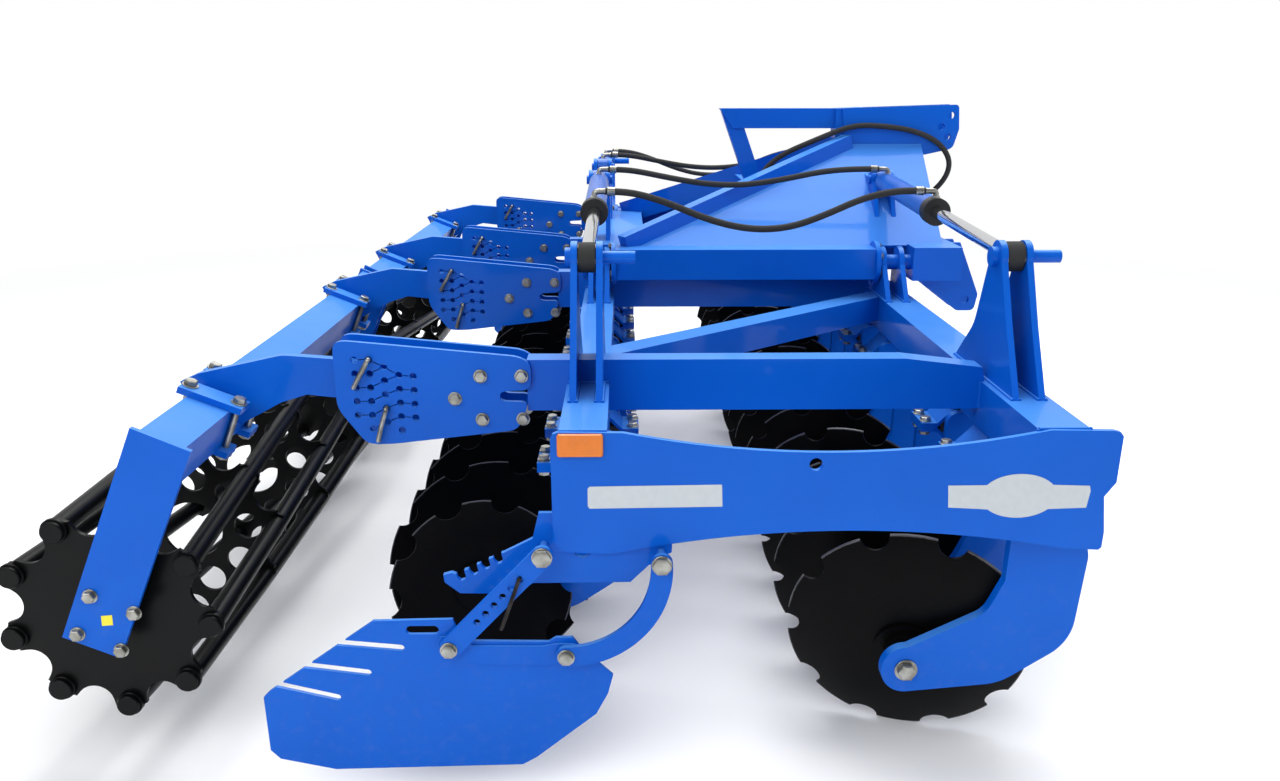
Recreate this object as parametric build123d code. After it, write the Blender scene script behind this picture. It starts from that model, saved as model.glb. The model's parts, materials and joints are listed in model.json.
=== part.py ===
from build123d import *
from math import atan2, cos, degrees, hypot, radians, sin, sqrt
import os

# Folding mounted disc harrow. Millimetres; +X points to the tractor, +Y to the left, +Z up.
# The lowest points of the discs are at Z = 0, and X = 0 is halfway along the machine.

# Main layout
PANEL_Y = 2000.0          # outer face of a side panel, from the middle plane
PANEL_T = 12.0
REAR_BEAM_X = -13.0
REAR_BEAM = 100.0         # square section of the rear beam
FRONT_BEAM_X = 980.0
FRONT_BEAM = 110.0
BEAM_TOP = 840.0
BEAM_INNER_Y = 50.0       # inner end of both beams, from the middle plane
ARM_LINE_Y = (1600.0, 400.0)   # lines of the longitudinals and roller arms
LONG_W = 60.0
LONG_TOP = 897.0
LONG_H = 125.0
DIAGONAL = 80.0

# Wing hinge, along X
HINGE_Y = 560.0
HINGE_Z = 950.0
HINGE_PIN_R = 25.0
LUG_T = 16.0
RUN = 0.3                 # running clearance at pins
REAR_LUG_X = (-37.0, 16.0)     # middle of each rear hinge lug plate
FRONT_LUG_X = (934.0, 993.0)

# Centre frame
SIDE_TUBE = 100.0
SIDE_TUBE_X = (45.0, 905.0)
FLANGE_R = 70.0
FLANGE_T = 15.0
CROSS_X = (1030.0, 1190.0)     # front cross tube
CROSS_Z = (895.0, 1005.0)

REAR_CROSS_Y = 490.0

# Three-point hitch
EAR_TIP_X = 1321.0
EAR_Y = 45.0
TOP_LINK_HOLES = ((1290.0, 1412.0), (1254.0, 1372.0), (1279.0, 1335.0))
TOP_LINK_R = 12.75
LOWER_BORE = (1262.0, 802.0)
LOWER_BORE_Y = 412.5
LOWER_BORE_R = 14.25
LOWER_GAP = 68.0
LOWER_T = 14.0

# Lift cylinders: pins along X
CYL_BASE = (300.0, 1200.0)     # distance from the middle plane, height
CYL_EYE = (1600.0, 1135.0)
CYL_X = (REAR_BEAM_X, FRONT_BEAM_X)
BARREL_R = 33.0
BARREL_L = 690.0
BARREL_START = 58.0       # from the base pin to the tube's closed end
ROD_R = 18.0
CYL_PIN_R = 15.0
EYE_R = 34.0
EYE_W = 40.0
CYL_LUG_GAP = 44.0
CYL_LUG_T = 15.0

# Discs
DISC_R = 280.0
SMALL_DISC_R = 225.0
DISC_T = 6.0
DISC_DEPTH = 55.0
NOTCHES = 10
NOTCH_R = 36.0
DISC_YAW = 15.4
DISC_TILT = 11.5
DISC_PITCH = 250.0
DISC_FIRST_Y = 1810.0
FRONT_DISC_X = 738.0
REAR_DISC_X = -277.0
SMALL_LIFT = 50.0         # the small outer discs run this much higher
HUB_R = 50.0
HUB_L = 30.0
SPINDLE_L = 22.0          # length of the spindle inside the hub
SPINDLE_R = 20.0

# Disc arms and their rubber clamps
ARM_T = 25.0
ARM_OFFSET = 110.0        # from the rim plane to the arm's inner face, along the axis
CLAMP_Z = 650.0
CLAMP_SIDE = 130.0
CLAMP_WALL = 8.0
CLAMP_L = 105.0
INNER_TUBE = 62.0
RUBBER_GAP = 0.3

# Roller
ROLLER_X = -1073.0
ROLLER_Z = 389.0
BAR_PITCH_R = 223.5
BAR_R = 24.15
BARS = 9
BAR_START = 113.8
BAR_TWIST = 10.0          # twist from one support plate to the next
ROLLER_PLATES_Y = (1905.0, 1450.0, 1000.0, 550.0, 95.0)
ROLLER_PLATE_T = 10.0

# Roller frame
HANGER_TILT = 22.0
HANGER_W = 130.0
HANGER_T = 12.0
HANGER_Y = (1954.0, 40.0)
ROLLER_BEAM = (-905.0, 768.0)
ROLLER_BEAM_S = 100.0
NECK_T = 25.0
ADJ_T = 12.0

# Deflector
LINK_T = 12.0
LINK_Y = 2038.0           # inner face of the links
BLADE_Y = 2022.0
BLADE_T = 8.0
PIVOTS_UP = ((-98.0, 588.0), (149.0, 569.0))
PIVOTS_LOW = ((-300.0, 375.0), (-53.0, 356.0))
PIVOT_R = 10.0


def box(x, y, z):
    """Box between pairs of coordinates."""
    size = (x[1] - x[0], y[1] - y[0], z[1] - z[0])
    middle = ((x[0] + x[1]) / 2, (y[0] + y[1]) / 2, (z[0] + z[1]) / 2)
    return Pos(*middle) * Box(*size)


def xz_plate(outline, y0, y1):
    """Plate with an X-Z outline, from Y = y0 to the larger Y = y1."""
    plane = Plane(origin=(0, y1, 0), x_dir=(1, 0, 0), z_dir=(0, -1, 0))
    return extrude(plane * outline, y1 - y0)


def yz_plate(outline, x0, x1):
    """Plate with a Y-Z outline, from X = x0 to the larger X = x1."""
    plane = Plane(origin=(x0, 0, 0), x_dir=(0, 1, 0), z_dir=(1, 0, 0))
    return extrude(plane * outline, x1 - x0)


def polygon(points, radii=None):
    """Face with straight sides, its corners rounded by the radii given by index."""
    face = make_face(Polyline(*points, close=True))
    for index, radius in (radii or {}).items():
        spot = Vector(*points[index])
        corner = min(face.vertices(), key=lambda v: (Vector(*v) - spot).length)
        face = fillet(corner, radius)
    return face


def rod(start, end, radius):
    """Round bar between two points."""
    axis = Vector(*end) - Vector(*start)
    return extrude(Plane(origin=start, z_dir=axis) * Circle(radius), axis.length)


def bar(start, end, width, height, up=(0, 0, 1)):
    """Rectangular bar between two points; height is measured towards up."""
    axis = (Vector(*end) - Vector(*start))
    side = axis.cross(Vector(*up)).normalized()
    plane = Plane(origin=start, x_dir=side, z_dir=axis)
    return extrude(plane * Rectangle(width, height), axis.length)


def fuse(pieces):
    """One shape from a list of pieces."""
    first, *rest = pieces
    return first.fuse(*rest) if rest else first


# Discs and arms
def disc_axis(row):
    """Unit vector out of a disc's hollow side; the rows are mirror images in Y."""
    yaw, tilt = radians(DISC_YAW), radians(DISC_TILT)
    side = 1 if row == "front" else -1
    return Vector(sin(yaw) * cos(tilt), side * cos(yaw) * cos(tilt), sin(tilt))


def disc_places():
    """Wing, row, number, rim centre and rim radius of every disc."""
    rim_z = DISC_R * cos(radians(DISC_TILT)) + DISC_T * sin(radians(DISC_TILT))
    count = {}
    places = []
    for row, side, x in (("front", -1, FRONT_DISC_X), ("rear", 1, REAR_DISC_X)):
        for step in range(15):
            y = side * (DISC_FIRST_Y - DISC_PITCH * step)
            wing = "right" if y < 0 else "left"
            small = step == 14
            count[wing, row] = count.get((wing, row), 0) + 1
            centre = Vector(x, y, rim_z + (SMALL_LIFT if small else 0))
            radius = SMALL_DISC_R if small else DISC_R
            places.append((wing, row, count[wing, row], centre, radius))
    return places


def make_disc(radius):
    """Dished notched disc with its hub; the hollow faces local +Z, the rim plane is Z = 0."""
    sphere = (radius ** 2 + DISC_DEPTH ** 2) / (2 * DISC_DEPTH)
    sag = sphere - sqrt(sphere ** 2 - (radius / 2) ** 2)
    outer = ThreePointArc((0, -DISC_DEPTH - DISC_T), (radius / 2, sag - DISC_DEPTH - DISC_T),
                          (radius, -DISC_T))
    inner = ThreePointArc((radius, 0), (radius / 2, sag - DISC_DEPTH), (0, -DISC_DEPTH))
    rim = Line((radius, -DISC_T), (radius, 0))
    axis_side = Line((0, -DISC_DEPTH), (0, -DISC_DEPTH - DISC_T))
    section = make_face(outer + rim + inner + axis_side)
    dish = revolve(Plane.XZ * section, Axis.Z)
    notch = Pos(0, 0, -DISC_DEPTH) * Cylinder(NOTCH_R, 4 * DISC_DEPTH)
    notches = [Rot(0, 0, 360 / NOTCHES * k) * Pos(radius + 6, 0, 0) * notch for k in range(NOTCHES)]
    dish = dish - notches
    hub_top = -DISC_DEPTH - DISC_T / 2
    hub = Pos(0, 0, hub_top - HUB_L / 2) * Cylinder(HUB_R, HUB_L)
    flange = Pos(0, 0, hub_top - 8) * Cylinder(HUB_R + 22, 8)
    cap = Pos(0, 0, -DISC_DEPTH + 6) * Cylinder(HUB_R + 12, 12)
    depth = SPINDLE_L + 3
    bore = Pos(0, 0, hub_top - HUB_L + depth / 2) * Cylinder(SPINDLE_R + RUN, depth)
    return fuse([dish, hub, flange, cap]) - bore


def make_arm(row, centre):
    """Arm of one disc, in place: swept plate, inner clamp tube and angled spindle."""
    axis = disc_axis(row)
    side = -1 if row == "front" else 1
    beam_x = FRONT_BEAM_X if row == "front" else REAR_BEAM_X
    face = centre - axis * ARM_OFFSET
    hub = centre - axis * (ARM_OFFSET + ARM_T / 2)
    hx, hz = hub.X, hub.Z
    outline = polygon(
        [(beam_x - 62, 700), (beam_x + 62, 700), (beam_x + 108, 530), (beam_x + 92, 318),
         (beam_x - 60, 215), (hx, hz - 56), (hx, hz + 56), (beam_x - 105, 392), (beam_x - 70, 470)],
        {0: 30, 1: 30, 2: 60, 3: 110, 4: 120, 7: 60})
    outline += Pos(hx, hz) * Circle(56)
    y0, y1 = sorted((face.Y, face.Y + side * ARM_T))
    plate = xz_plate(outline, y0, y1)
    top = hub_face(centre, axis)
    spindle = rod(tuple(top), tuple(hub), SPINDLE_R)
    boss_end = centre - axis * (DISC_DEPTH + DISC_T / 2 + HUB_L + 5)
    boss = rod(tuple(boss_end), tuple(hub), SPINDLE_R + 14)
    inner_end = face.Y - side * (CLAMP_L + 8)
    ty = sorted((inner_end, face.Y))
    half = INNER_TUBE / 2
    tube = box((beam_x - half, beam_x + half), ty, (CLAMP_Z - half, CLAMP_Z + half))
    return fuse([plate, tube, boss, spindle])


def hub_face(centre, axis):
    """Inner end of the spindle, inside the hub's bore."""
    return centre - axis * (DISC_DEPTH + DISC_T / 2 + HUB_L - SPINDLE_L)


def clamp_span(row, centre):
    """Y span of one clamp housing."""
    side = -1 if row == "front" else 1
    start = centre.Y - disc_axis(row).Y * ARM_OFFSET - side * 4
    return sorted((start, start - side * CLAMP_L))


def make_clamp(row, centre):
    """Clamp housing under a beam: a square sleeve on its corner with bolted flanges."""
    beam_x = FRONT_BEAM_X if row == "front" else REAR_BEAM_X
    beam_low = BEAM_TOP - (FRONT_BEAM if row == "front" else REAR_BEAM)
    y0, y1 = clamp_span(row, centre)
    at = Pos(beam_x, CLAMP_Z)
    sleeve = at * Rot(0, 0, 45) * Rectangle(CLAMP_SIDE, CLAMP_SIDE)
    reach = CLAMP_SIDE / sqrt(2)
    flanges = at * Rectangle(2 * reach + 60, 24)
    saddle = Pos(beam_x, (CLAMP_Z + beam_low) / 2) * Rectangle(70, beam_low - CLAMP_Z)
    hollow = at * Rot(0, 0, 45) * Rectangle(CLAMP_SIDE - 2 * CLAMP_WALL, CLAMP_SIDE - 2 * CLAMP_WALL)
    above = Pos(beam_x, beam_low + 100) * Rectangle(400, 200)
    return xz_plate(sleeve + flanges + saddle - hollow - above, y0, y1)


def make_dampers(row, centre):
    """Four rubber rods between the inner tube's flats and the sleeve's corners."""
    beam_x = FRONT_BEAM_X if row == "front" else REAR_BEAM_X
    y0, y1 = clamp_span(row, centre)
    corner = (CLAMP_SIDE - 2 * CLAMP_WALL) / sqrt(2)
    radius = (corner - INNER_TUBE / 2) / (1 + sqrt(2)) - RUBBER_GAP
    reach = INNER_TUBE / 2 + radius + RUBBER_GAP
    rods = []
    for k in range(4):
        x = beam_x + reach * cos(radians(90 * k))
        z = CLAMP_Z + reach * sin(radians(90 * k))
        rods.append(rod((x, y0, z), (x, y1, z), radius))
    return rods


# Right wing; the left one is its mirror image
def make_wing_frame():
    rear = box((REAR_BEAM_X - REAR_BEAM / 2, REAR_BEAM_X + REAR_BEAM / 2),
               (-PANEL_Y + PANEL_T, -BEAM_INNER_Y), (BEAM_TOP - REAR_BEAM, BEAM_TOP))
    front = box((FRONT_BEAM_X - FRONT_BEAM / 2, FRONT_BEAM_X + FRONT_BEAM / 2),
                (-PANEL_Y + PANEL_T, -BEAM_INNER_Y), (BEAM_TOP - FRONT_BEAM, BEAM_TOP))
    pieces = [rear, front]
    start_x = REAR_BEAM_X - 145
    front_face = FRONT_BEAM_X - FRONT_BEAM / 2
    low = LONG_TOP - LONG_H
    for y in ARM_LINE_Y:
        outline = polygon([(start_x, low), (front_face, low), (front_face + 8, BEAM_TOP - 2),
                           (front_face, LONG_TOP - 22), (front_face - 185, LONG_TOP),
                           (start_x, LONG_TOP)])
        pieces.append(xz_plate(outline, -y - LONG_W / 2, -y + LONG_W / 2))
    rail_z = BEAM_TOP - DIAGONAL / 2
    pieces.append(bar((REAR_BEAM_X, -1360, rail_z), (FRONT_BEAM_X - 40, -HINGE_Y + 20, rail_z),
                      DIAGONAL, DIAGONAL))
    for x in REAR_LUG_X + FRONT_LUG_X:
        outline = polygon([(-HINGE_Y - 140, BEAM_TOP), (-HINGE_Y + 60, BEAM_TOP),
                           (-HINGE_Y + 52, HINGE_Z), (-HINGE_Y - 52, HINGE_Z)])
        outline += Pos(-HINGE_Y, HINGE_Z) * Circle(52)
        outline -= Pos(-HINGE_Y, HINGE_Z) * Circle(HINGE_PIN_R + RUN)
        pieces.append(yz_plate(outline, x - LUG_T / 2, x + LUG_T / 2))
    for x in CYL_X:
        pieces += make_cylinder_lugs(x)
    return fuse(pieces)


def make_cylinder_lugs(x):
    """Two swept lug plates on a beam, with the outer pieces of the rod's pin."""
    eye_y, eye_z = -CYL_EYE[0], CYL_EYE[1]
    outline = polygon([(eye_y - 190, BEAM_TOP), (eye_y + 230, BEAM_TOP), (eye_y + 110, BEAM_TOP + 110),
                       (eye_y + 36, eye_z + 5), (eye_y - 36, eye_z - 5), (eye_y - 105, BEAM_TOP + 150)],
                      {2: 120, 5: 150})
    outline += Pos(eye_y, eye_z) * Circle(38)
    half = CYL_LUG_GAP / 2
    pieces = []
    for x0, x1 in ((x - half - CYL_LUG_T, x - half), (x + half, x + half + CYL_LUG_T)):
        pieces.append(yz_plate(outline, x0, x1))
    rear_end = x - half - CYL_LUG_T
    front_end = x + half + CYL_LUG_T
    pieces.append(rod((rear_end - 14, eye_y, eye_z), (rear_end + 5, eye_y, eye_z), CYL_PIN_R + 8))
    pieces.append(rod((front_end - 5, eye_y, eye_z), (front_end + 75, eye_y, eye_z), CYL_PIN_R))
    return pieces


def make_side_panel():
    top = [(-79, 828), (-66, 842), (70, 840)]
    face = make_face(
        Polyline((43, 571), (-63, 577), (-79, 600), *top)
        + ThreePointArc((70, 840), (470, 796), (947, 842))
        + Polyline((947, 842), (1084, 840), (1097, 828), (1095, 727), (1073, 695), (1083, 614),
                   (1082, 574), (998, 578))
        + ThreePointArc((998, 578), (484, 621), (43, 571)))
    face -= Pos(467, 770) * Circle(14)
    panel = xz_plate(face, -PANEL_Y, -PANEL_Y + PANEL_T)
    rack = polygon([(-140, 640), (185, 640), (190, 560), (120, 540), (-60, 540), (-215, 480),
                    (-290, 470), (-330, 500), (-175, 570)], {6: 20, 7: 14})
    plate = xz_plate(rack, -PANEL_Y + PANEL_T, -PANEL_Y + 2 * PANEL_T)
    pieces = [panel, plate]
    for x, z in PIVOTS_UP:
        pieces.append(rod((x, -PANEL_Y + PANEL_T, z), (x, -LINK_Y - LINK_T - 6, z), PIVOT_R))
        pieces.append(rod((x, -LINK_Y - LINK_T - 12, z), (x, -LINK_Y - LINK_T - 1, z), PIVOT_R + 7))
    return fuse(pieces)


def make_roller_frame():
    tilt = radians(HANGER_TILT)
    bx, bz = ROLLER_BEAM
    pieces = []
    square = Pos(bx, bz) * Rot(0, 0, -HANGER_TILT) * Rectangle(ROLLER_BEAM_S, ROLLER_BEAM_S)
    pieces.append(xz_plate(square, -HANGER_Y[0], -HANGER_Y[1]))
    for y0, y1 in ((-HANGER_Y[0] - HANGER_T, -HANGER_Y[0]), (-HANGER_Y[1], -HANGER_Y[1] + HANGER_T)):
        length = hypot(bx - ROLLER_X, bz - ROLLER_Z)
        lean = degrees(atan2(bx - ROLLER_X, bz - ROLLER_Z))
        middle = ((bx + ROLLER_X) / 2, (bz + ROLLER_Z) / 2)
        outline = Pos(*middle) * Rot(0, 0, -lean) * Rectangle(HANGER_W, length + 110)
        pieces.append(xz_plate(outline, y0, y1))
    for y in ARM_LINE_Y:
        outline = polygon([(-985, 842), (-940, 862), (-738, 906), (-625, 897), (-480, 880),
                           (-480, 792), (-627, 802), (-687, 809), (-751, 789), (-852, 735),
                           (-960, 790)], {2: 60, 8: 60})
        pieces.append(xz_plate(outline, -y - NECK_T / 2, -y + NECK_T / 2))
        for x, z in ((-529, 905), (-502, 810)):
            pieces.append(rod((x, -y - LONG_W / 2, z), (x, -y + LONG_W / 2, z), 22))
        for along in (-75, 75):
            up = ROLLER_BEAM_S / 2 + 8
            cx = bx + up * sin(tilt)
            cz = bz + up * cos(tilt)
            clamp = Pos(cx, cz) * Rot(0, 0, -HANGER_TILT) * Rectangle(150, 16)
            pieces.append(xz_plate(clamp, -y + along - 30, -y + along + 30))
    return fuse(pieces)


def make_adjusters():
    """Pairs of hole plates that hold the roller arms, one pair a line."""
    pieces = []
    outline = polygon([(-609, 938), (-590, 948), (-177, 908), (-147, 891), (-149, 830),
                       (-182, 727), (-484, 693), (-544, 693), (-609, 784)],
                      {4: 10, 5: 40, 7: 60, 8: 60})
    outline -= Pos(-186, 811) * Rectangle(74, 26)
    for y in ARM_LINE_Y:
        for y0 in (-y - LONG_W / 2 - ADJ_T, -y + LONG_W / 2):
            pieces.append(xz_plate(outline, y0, y0 + ADJ_T))
    return pieces


def make_roller():
    """Twisted-bar roller: bars in straight spans between round support plates."""
    ys = [-y for y in ROLLER_PLATES_Y]
    pieces = []

    def bar_end(k, station):
        angle = radians(BAR_START + 360 / BARS * k + BAR_TWIST * station)
        return (ROLLER_X + BAR_PITCH_R * cos(angle), ys[station], ROLLER_Z + BAR_PITCH_R * sin(angle))

    for station, y in enumerate(ys):
        plate = Pos(ROLLER_X, ROLLER_Z) * Circle(BAR_PITCH_R + 8)
        if 0 < station < len(ys) - 1:
            plate -= Pos(ROLLER_X, ROLLER_Z) * Circle(BAR_PITCH_R - 75)
        pieces.append(xz_plate(plate, y - ROLLER_PLATE_T / 2, y + ROLLER_PLATE_T / 2))
    for k in range(BARS):
        for station in range(len(ys) - 1):
            start, end = bar_end(k, station), bar_end(k, station + 1)
            pieces.append(rod(start, end, BAR_R))
        first, last = bar_end(k, 0), bar_end(k, len(ys) - 1)
        pieces.append(rod((first[0], ys[0] - 22, first[2]), first, BAR_R))
        pieces.append(rod(last, (last[0], ys[-1] + 22, last[2]), BAR_R))
    pieces.append(rod((ROLLER_X, -HANGER_Y[0] + RUN, ROLLER_Z), (ROLLER_X, ys[0], ROLLER_Z), 35))
    pieces.append(rod((ROLLER_X, ys[-1], ROLLER_Z), (ROLLER_X, -HANGER_Y[1] - RUN, ROLLER_Z), 35))
    return fuse(pieces)


def cylinder_line():
    """Unit vector from a right cylinder's base pin to its rod's eye, in the YZ plane."""
    return Vector(0, CYL_BASE[0] - CYL_EYE[0], CYL_EYE[1] - CYL_BASE[1]).normalized()


def make_barrels():
    line = cylinder_line()
    solids = []
    for x in CYL_X:
        base = Vector(x, -CYL_BASE[0], CYL_BASE[1])
        eye = rod((x - EYE_W / 2, base.Y, base.Z), (x + EYE_W / 2, base.Y, base.Z), EYE_R)
        barrel = rod(tuple(base + line * BARREL_START), tuple(base + line * BARREL_L), BARREL_R)
        neck = rod(tuple(base), tuple(base + line * (BARREL_START + 5)), EYE_W / 2 - 1)
        collar = rod(tuple(base + line * (BARREL_L - 45)), tuple(base + line * BARREL_L), BARREL_R + 7)
        hole = rod((x - EYE_W, base.Y, base.Z), (x + EYE_W, base.Y, base.Z), CYL_PIN_R + RUN)
        bore_r = ROD_R + RUN
        bore = rod(tuple(base + line * (BARREL_START + 20)), tuple(base + line * (BARREL_L + 1)), bore_r)
        solids.append(fuse([eye, neck, barrel, collar]) - hole - bore)
    return solids


def make_rods():
    line = cylinder_line()
    solids = []
    for x in CYL_X:
        base = Vector(x, -CYL_BASE[0], CYL_BASE[1])
        tip = Vector(x, -CYL_EYE[0], CYL_EYE[1])
        eye = rod((x - EYE_W / 2, tip.Y, tip.Z), (x + EYE_W / 2, tip.Y, tip.Z), EYE_R)
        shaft = rod(tuple(base + line * (BARREL_L - 60)), tuple(tip - line * 20), ROD_R)
        solids.append(fuse([eye, shaft]))
    return solids


def link_outline(top, low, bulge):
    """Outline of a deflector link; bulge is how far a bent link bows forward."""
    (x0, z0), (x1, z1) = top, low
    if not bulge:
        length = hypot(x1 - x0, z1 - z0)
        turn = degrees(atan2(z1 - z0, x1 - x0))
        return Pos((x0 + x1) / 2, (z0 + z1) / 2) * Rot(0, 0, turn) * SlotCenterToCenter(length, 46)
    middle = ((x0 + x1) / 2 + bulge, (z0 + z1) / 2 - bulge)
    arc = ThreePointArc(top, middle, low)
    band = SlotArc(arc, 46)
    return band


def make_link(index, bulge):
    top, low = PIVOTS_UP[index], PIVOTS_LOW[index]
    face = link_outline(top, low, bulge)
    face -= Pos(*top) * Circle(PIVOT_R + RUN)
    plate = xz_plate(face, -LINK_Y - LINK_T, -LINK_Y)
    pin = rod((low[0], -LINK_Y - LINK_T - 4, low[1]), (low[0], -BLADE_Y + 10, low[1]), PIVOT_R)
    return fuse([plate, pin])


def make_blade():
    outline = polygon([(-298, 429), (-420, 424), (-705, 255), (-718, 243), (-714, 111), (-694, 89),
                       (-573, 62), (-158, 73), (-127, 90), (7, 200), (33, 251), (51, 318),
                       (-60, 405)], {0: 30, 12: 40})
    for x, z in PIVOTS_LOW:
        outline += Pos(x, z) * Circle(34)
        outline -= Pos(x, z) * Circle(PIVOT_R + RUN)
    for tip, end in (((-540, 375), (-412, 363)), ((-617, 323), (-486, 303)), ((-685, 280), (-557, 242))):
        length = hypot(tip[0] - end[0], tip[1] - end[1])
        turn = degrees(atan2(end[1] - tip[1], end[0] - tip[0]))
        middle = ((tip[0] + end[0]) / 2, (tip[1] + end[1]) / 2 - 6)
        outline -= Pos(*middle) * Rot(0, 0, turn) * SlotOverall(length + 30, 14)
    return xz_plate(outline, -BLADE_Y - BLADE_T, -BLADE_Y)


# Centre
def make_centre_frame():
    pieces = []
    half = SIDE_TUBE / 2
    for side in (-1, 1):
        y = side * HINGE_Y
        pieces.append(box(SIDE_TUBE_X, (y - half, y + half), (HINGE_Z - half, HINGE_Z + half)))
        rear, front = SIDE_TUBE_X
        pieces.append(rod((rear - FLANGE_T, y, HINGE_Z), (rear, y, HINGE_Z), FLANGE_R))
        pieces.append(rod((front, y, HINGE_Z), (front + FLANGE_T, y, HINGE_Z), FLANGE_R))
        pin_end = REAR_LUG_X[0] - LUG_T / 2 - 6
        pieces.append(rod((pin_end, y, HINGE_Z), (rear, y, HINGE_Z), HINGE_PIN_R))
        pieces.append(rod((pin_end - 12, y, HINGE_Z), (pin_end, y, HINGE_Z), FLANGE_R - 14))
        pieces.append(rod((front, y, HINGE_Z), (CROSS_X[0] + 10, y, HINGE_Z), HINGE_PIN_R))
    reach = HINGE_Y + 52
    pieces.append(box(CROSS_X, (-reach, reach), CROSS_Z))
    top = HINGE_Z + half
    low = LONG_TOP + 8
    rear, front = SIDE_TUBE_X
    pieces.append(box((rear, rear + 100), (-HINGE_Y, HINGE_Y), (low, top)))
    pieces.append(box((REAR_BEAM_X - 45, rear), (-REAR_CROSS_Y, REAR_CROSS_Y), (low, top)))
    pieces.append(box((520, 600), (-HINGE_Y, HINGE_Y), (low, top)))
    for side in (-1, 1):
        foot = polygon([(side * (CYL_BASE[0] + 95), top), (side * (CYL_BASE[0] - 85), top),
                        (side * (CYL_BASE[0] - 34), CYL_BASE[1]),
                        (side * (CYL_BASE[0] + 34), CYL_BASE[1])])
        pieces += base_bracket(REAR_BEAM_X, side, foot)
    return fuse(pieces)


def base_bracket(x, side, foot):
    """Two plates and a pin that hold one barrel's base eye."""
    y, z = side * CYL_BASE[0], CYL_BASE[1]
    outline = foot + Pos(y, z) * Circle(EYE_R)
    inner = CYL_LUG_GAP / 2
    outer = inner + CYL_LUG_T
    plates = [yz_plate(outline, x - outer, x - inner), yz_plate(outline, x + inner, x + outer)]
    return plates + [rod((x - outer - 8, y, z), (x + outer + 8, y, z), CYL_PIN_R)]


def make_headstock():
    ridge_z = 1310.0
    foot_z = HINGE_Z + SIDE_TUBE / 2
    pieces = []
    for side in (-1, 1):
        foot = side * (HINGE_Y - 40)
        top = side * 60
        corners = [Vector(70, foot, foot_z), Vector(1150, foot, foot_z), Vector(1180, top, ridge_z),
                   Vector(905, top, ridge_z)]
        sheet = make_face(Polyline(*corners, close=True))
        normal = (corners[1] - corners[0]).cross(corners[3] - corners[0]).normalized()
        if normal.Z < 0:
            normal = normal * -1
        pieces.append(extrude(sheet, 10, dir=-normal))
        pieces.append(bar((75, foot, foot_z - 10), (910, top, ridge_z - 10), 50, 90))
        ear = polygon([(882, 1437), (1314, 1451), (EAR_TIP_X, 1363), (1302, 1292), (1200, 1270),
                       (900, 1290)], {1: 14, 2: 14, 3: 30})
        for x, z in TOP_LINK_HOLES:
            ear -= Pos(x, z) * Circle(TOP_LINK_R)
        pieces.append(xz_plate(ear, side * EAR_Y - 8, side * EAR_Y + 8))
        slope = (ridge_z - foot_z) / (top - foot)
        foot_line = polygon([(y, foot_z + slope * (y - foot)) for y in (side * 400, side * 205)]
                            + [(side * (CYL_BASE[0] - 34), CYL_BASE[1] + 4),
                               (side * (CYL_BASE[0] + 34), CYL_BASE[1] - 4)])
        pieces += base_bracket(FRONT_BEAM_X, side, foot_line)
    pieces.append(xz_plate(polygon([(430, 1437), (882, 1437), (882, 1365), (480, 1365)]), -30, 30))
    pieces.append(xz_plate(polygon([(435, 1430), (500, 1430), (600, 1160), (535, 1160)]), -22, 22))
    pieces.append(xz_plate(polygon([(860, 1437), (960, 1441), (960, 1300), (860, 1300)]),
                           -EAR_Y, EAR_Y))
    pieces.append(box((520, 610), (-240, 240), (1155, 1175)))
    for side in (-1, 1):
        bracket = polygon([(CROSS_X[1], 1000), (1230, 1000), (1306, 820), (1296, 762), (1235, 762),
                           (1060, CROSS_Z[0]), (CROSS_X[1], CROSS_Z[0])], {2: 20, 3: 20, 4: 20})
        bracket -= Pos(*LOWER_BORE) * Circle(LOWER_BORE_R)
        for gap in (-1, 1):
            middle = side * LOWER_BORE_Y + gap * (LOWER_GAP + LOWER_T) / 2
            pieces.append(xz_plate(bracket, middle - LOWER_T / 2, middle + LOWER_T / 2))
    solid = fuse(pieces)
    return solid


PARTS = {}


def build():
    axis_of = {row: disc_axis(row) for row in ("front", "rear")}
    discs = {radius: make_disc(radius) for radius in (DISC_R, SMALL_DISC_R)}
    arms = {"right": [], "left": []}
    clamps = {"right": [], "left": []}
    dampers = {"right": [], "left": []}
    for wing, row, number, centre, radius in disc_places():
        axis = axis_of[row]
        across = axis.cross(Vector(0, 0, 1)).normalized()
        place = Plane(origin=centre, x_dir=across, z_dir=axis)
        PARTS[f"{wing}_{row}_disc_{number}"] = place.location * discs[radius]
        arms[wing].append(make_arm(row, centre))
        clamps[wing].append(make_clamp(row, centre))
        dampers[wing] += make_dampers(row, centre)
    for wing in ("right", "left"):
        PARTS[f"{wing}_disc_arms"] = Compound(children=arms[wing])
        PARTS[f"{wing}_clamp_housings"] = Compound(children=clamps[wing])
        PARTS[f"{wing}_dampers"] = Compound(children=dampers[wing])
    right = {
        "wing_frame": make_wing_frame(),
        "side_panel": make_side_panel(),
        "adjusting_plates": Compound(children=make_adjusters()),
        "roller_frame": make_roller_frame(),
        "lift_barrels": Compound(children=make_barrels()),
        "lift_rods": Compound(children=make_rods()),
        "roller": make_roller(),
        "deflector_rear_link": make_link(0, 0),
        "deflector_front_link": make_link(1, 45),
        "deflector_blade": make_blade(),
    }
    for name, shape in right.items():
        PARTS[f"right_{name}"] = shape
        PARTS[f"left_{name}"] = mirror(shape, about=Plane.XZ)
    PARTS["centre_frame"] = make_centre_frame()
    PARTS["headstock"] = make_headstock() - PARTS["centre_frame"]


build()
os.makedirs("parts", exist_ok=True)
for name, shape in PARTS.items():
    export_step(shape, f"parts/{name}.step")
print(len(PARTS), "parts")
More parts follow.
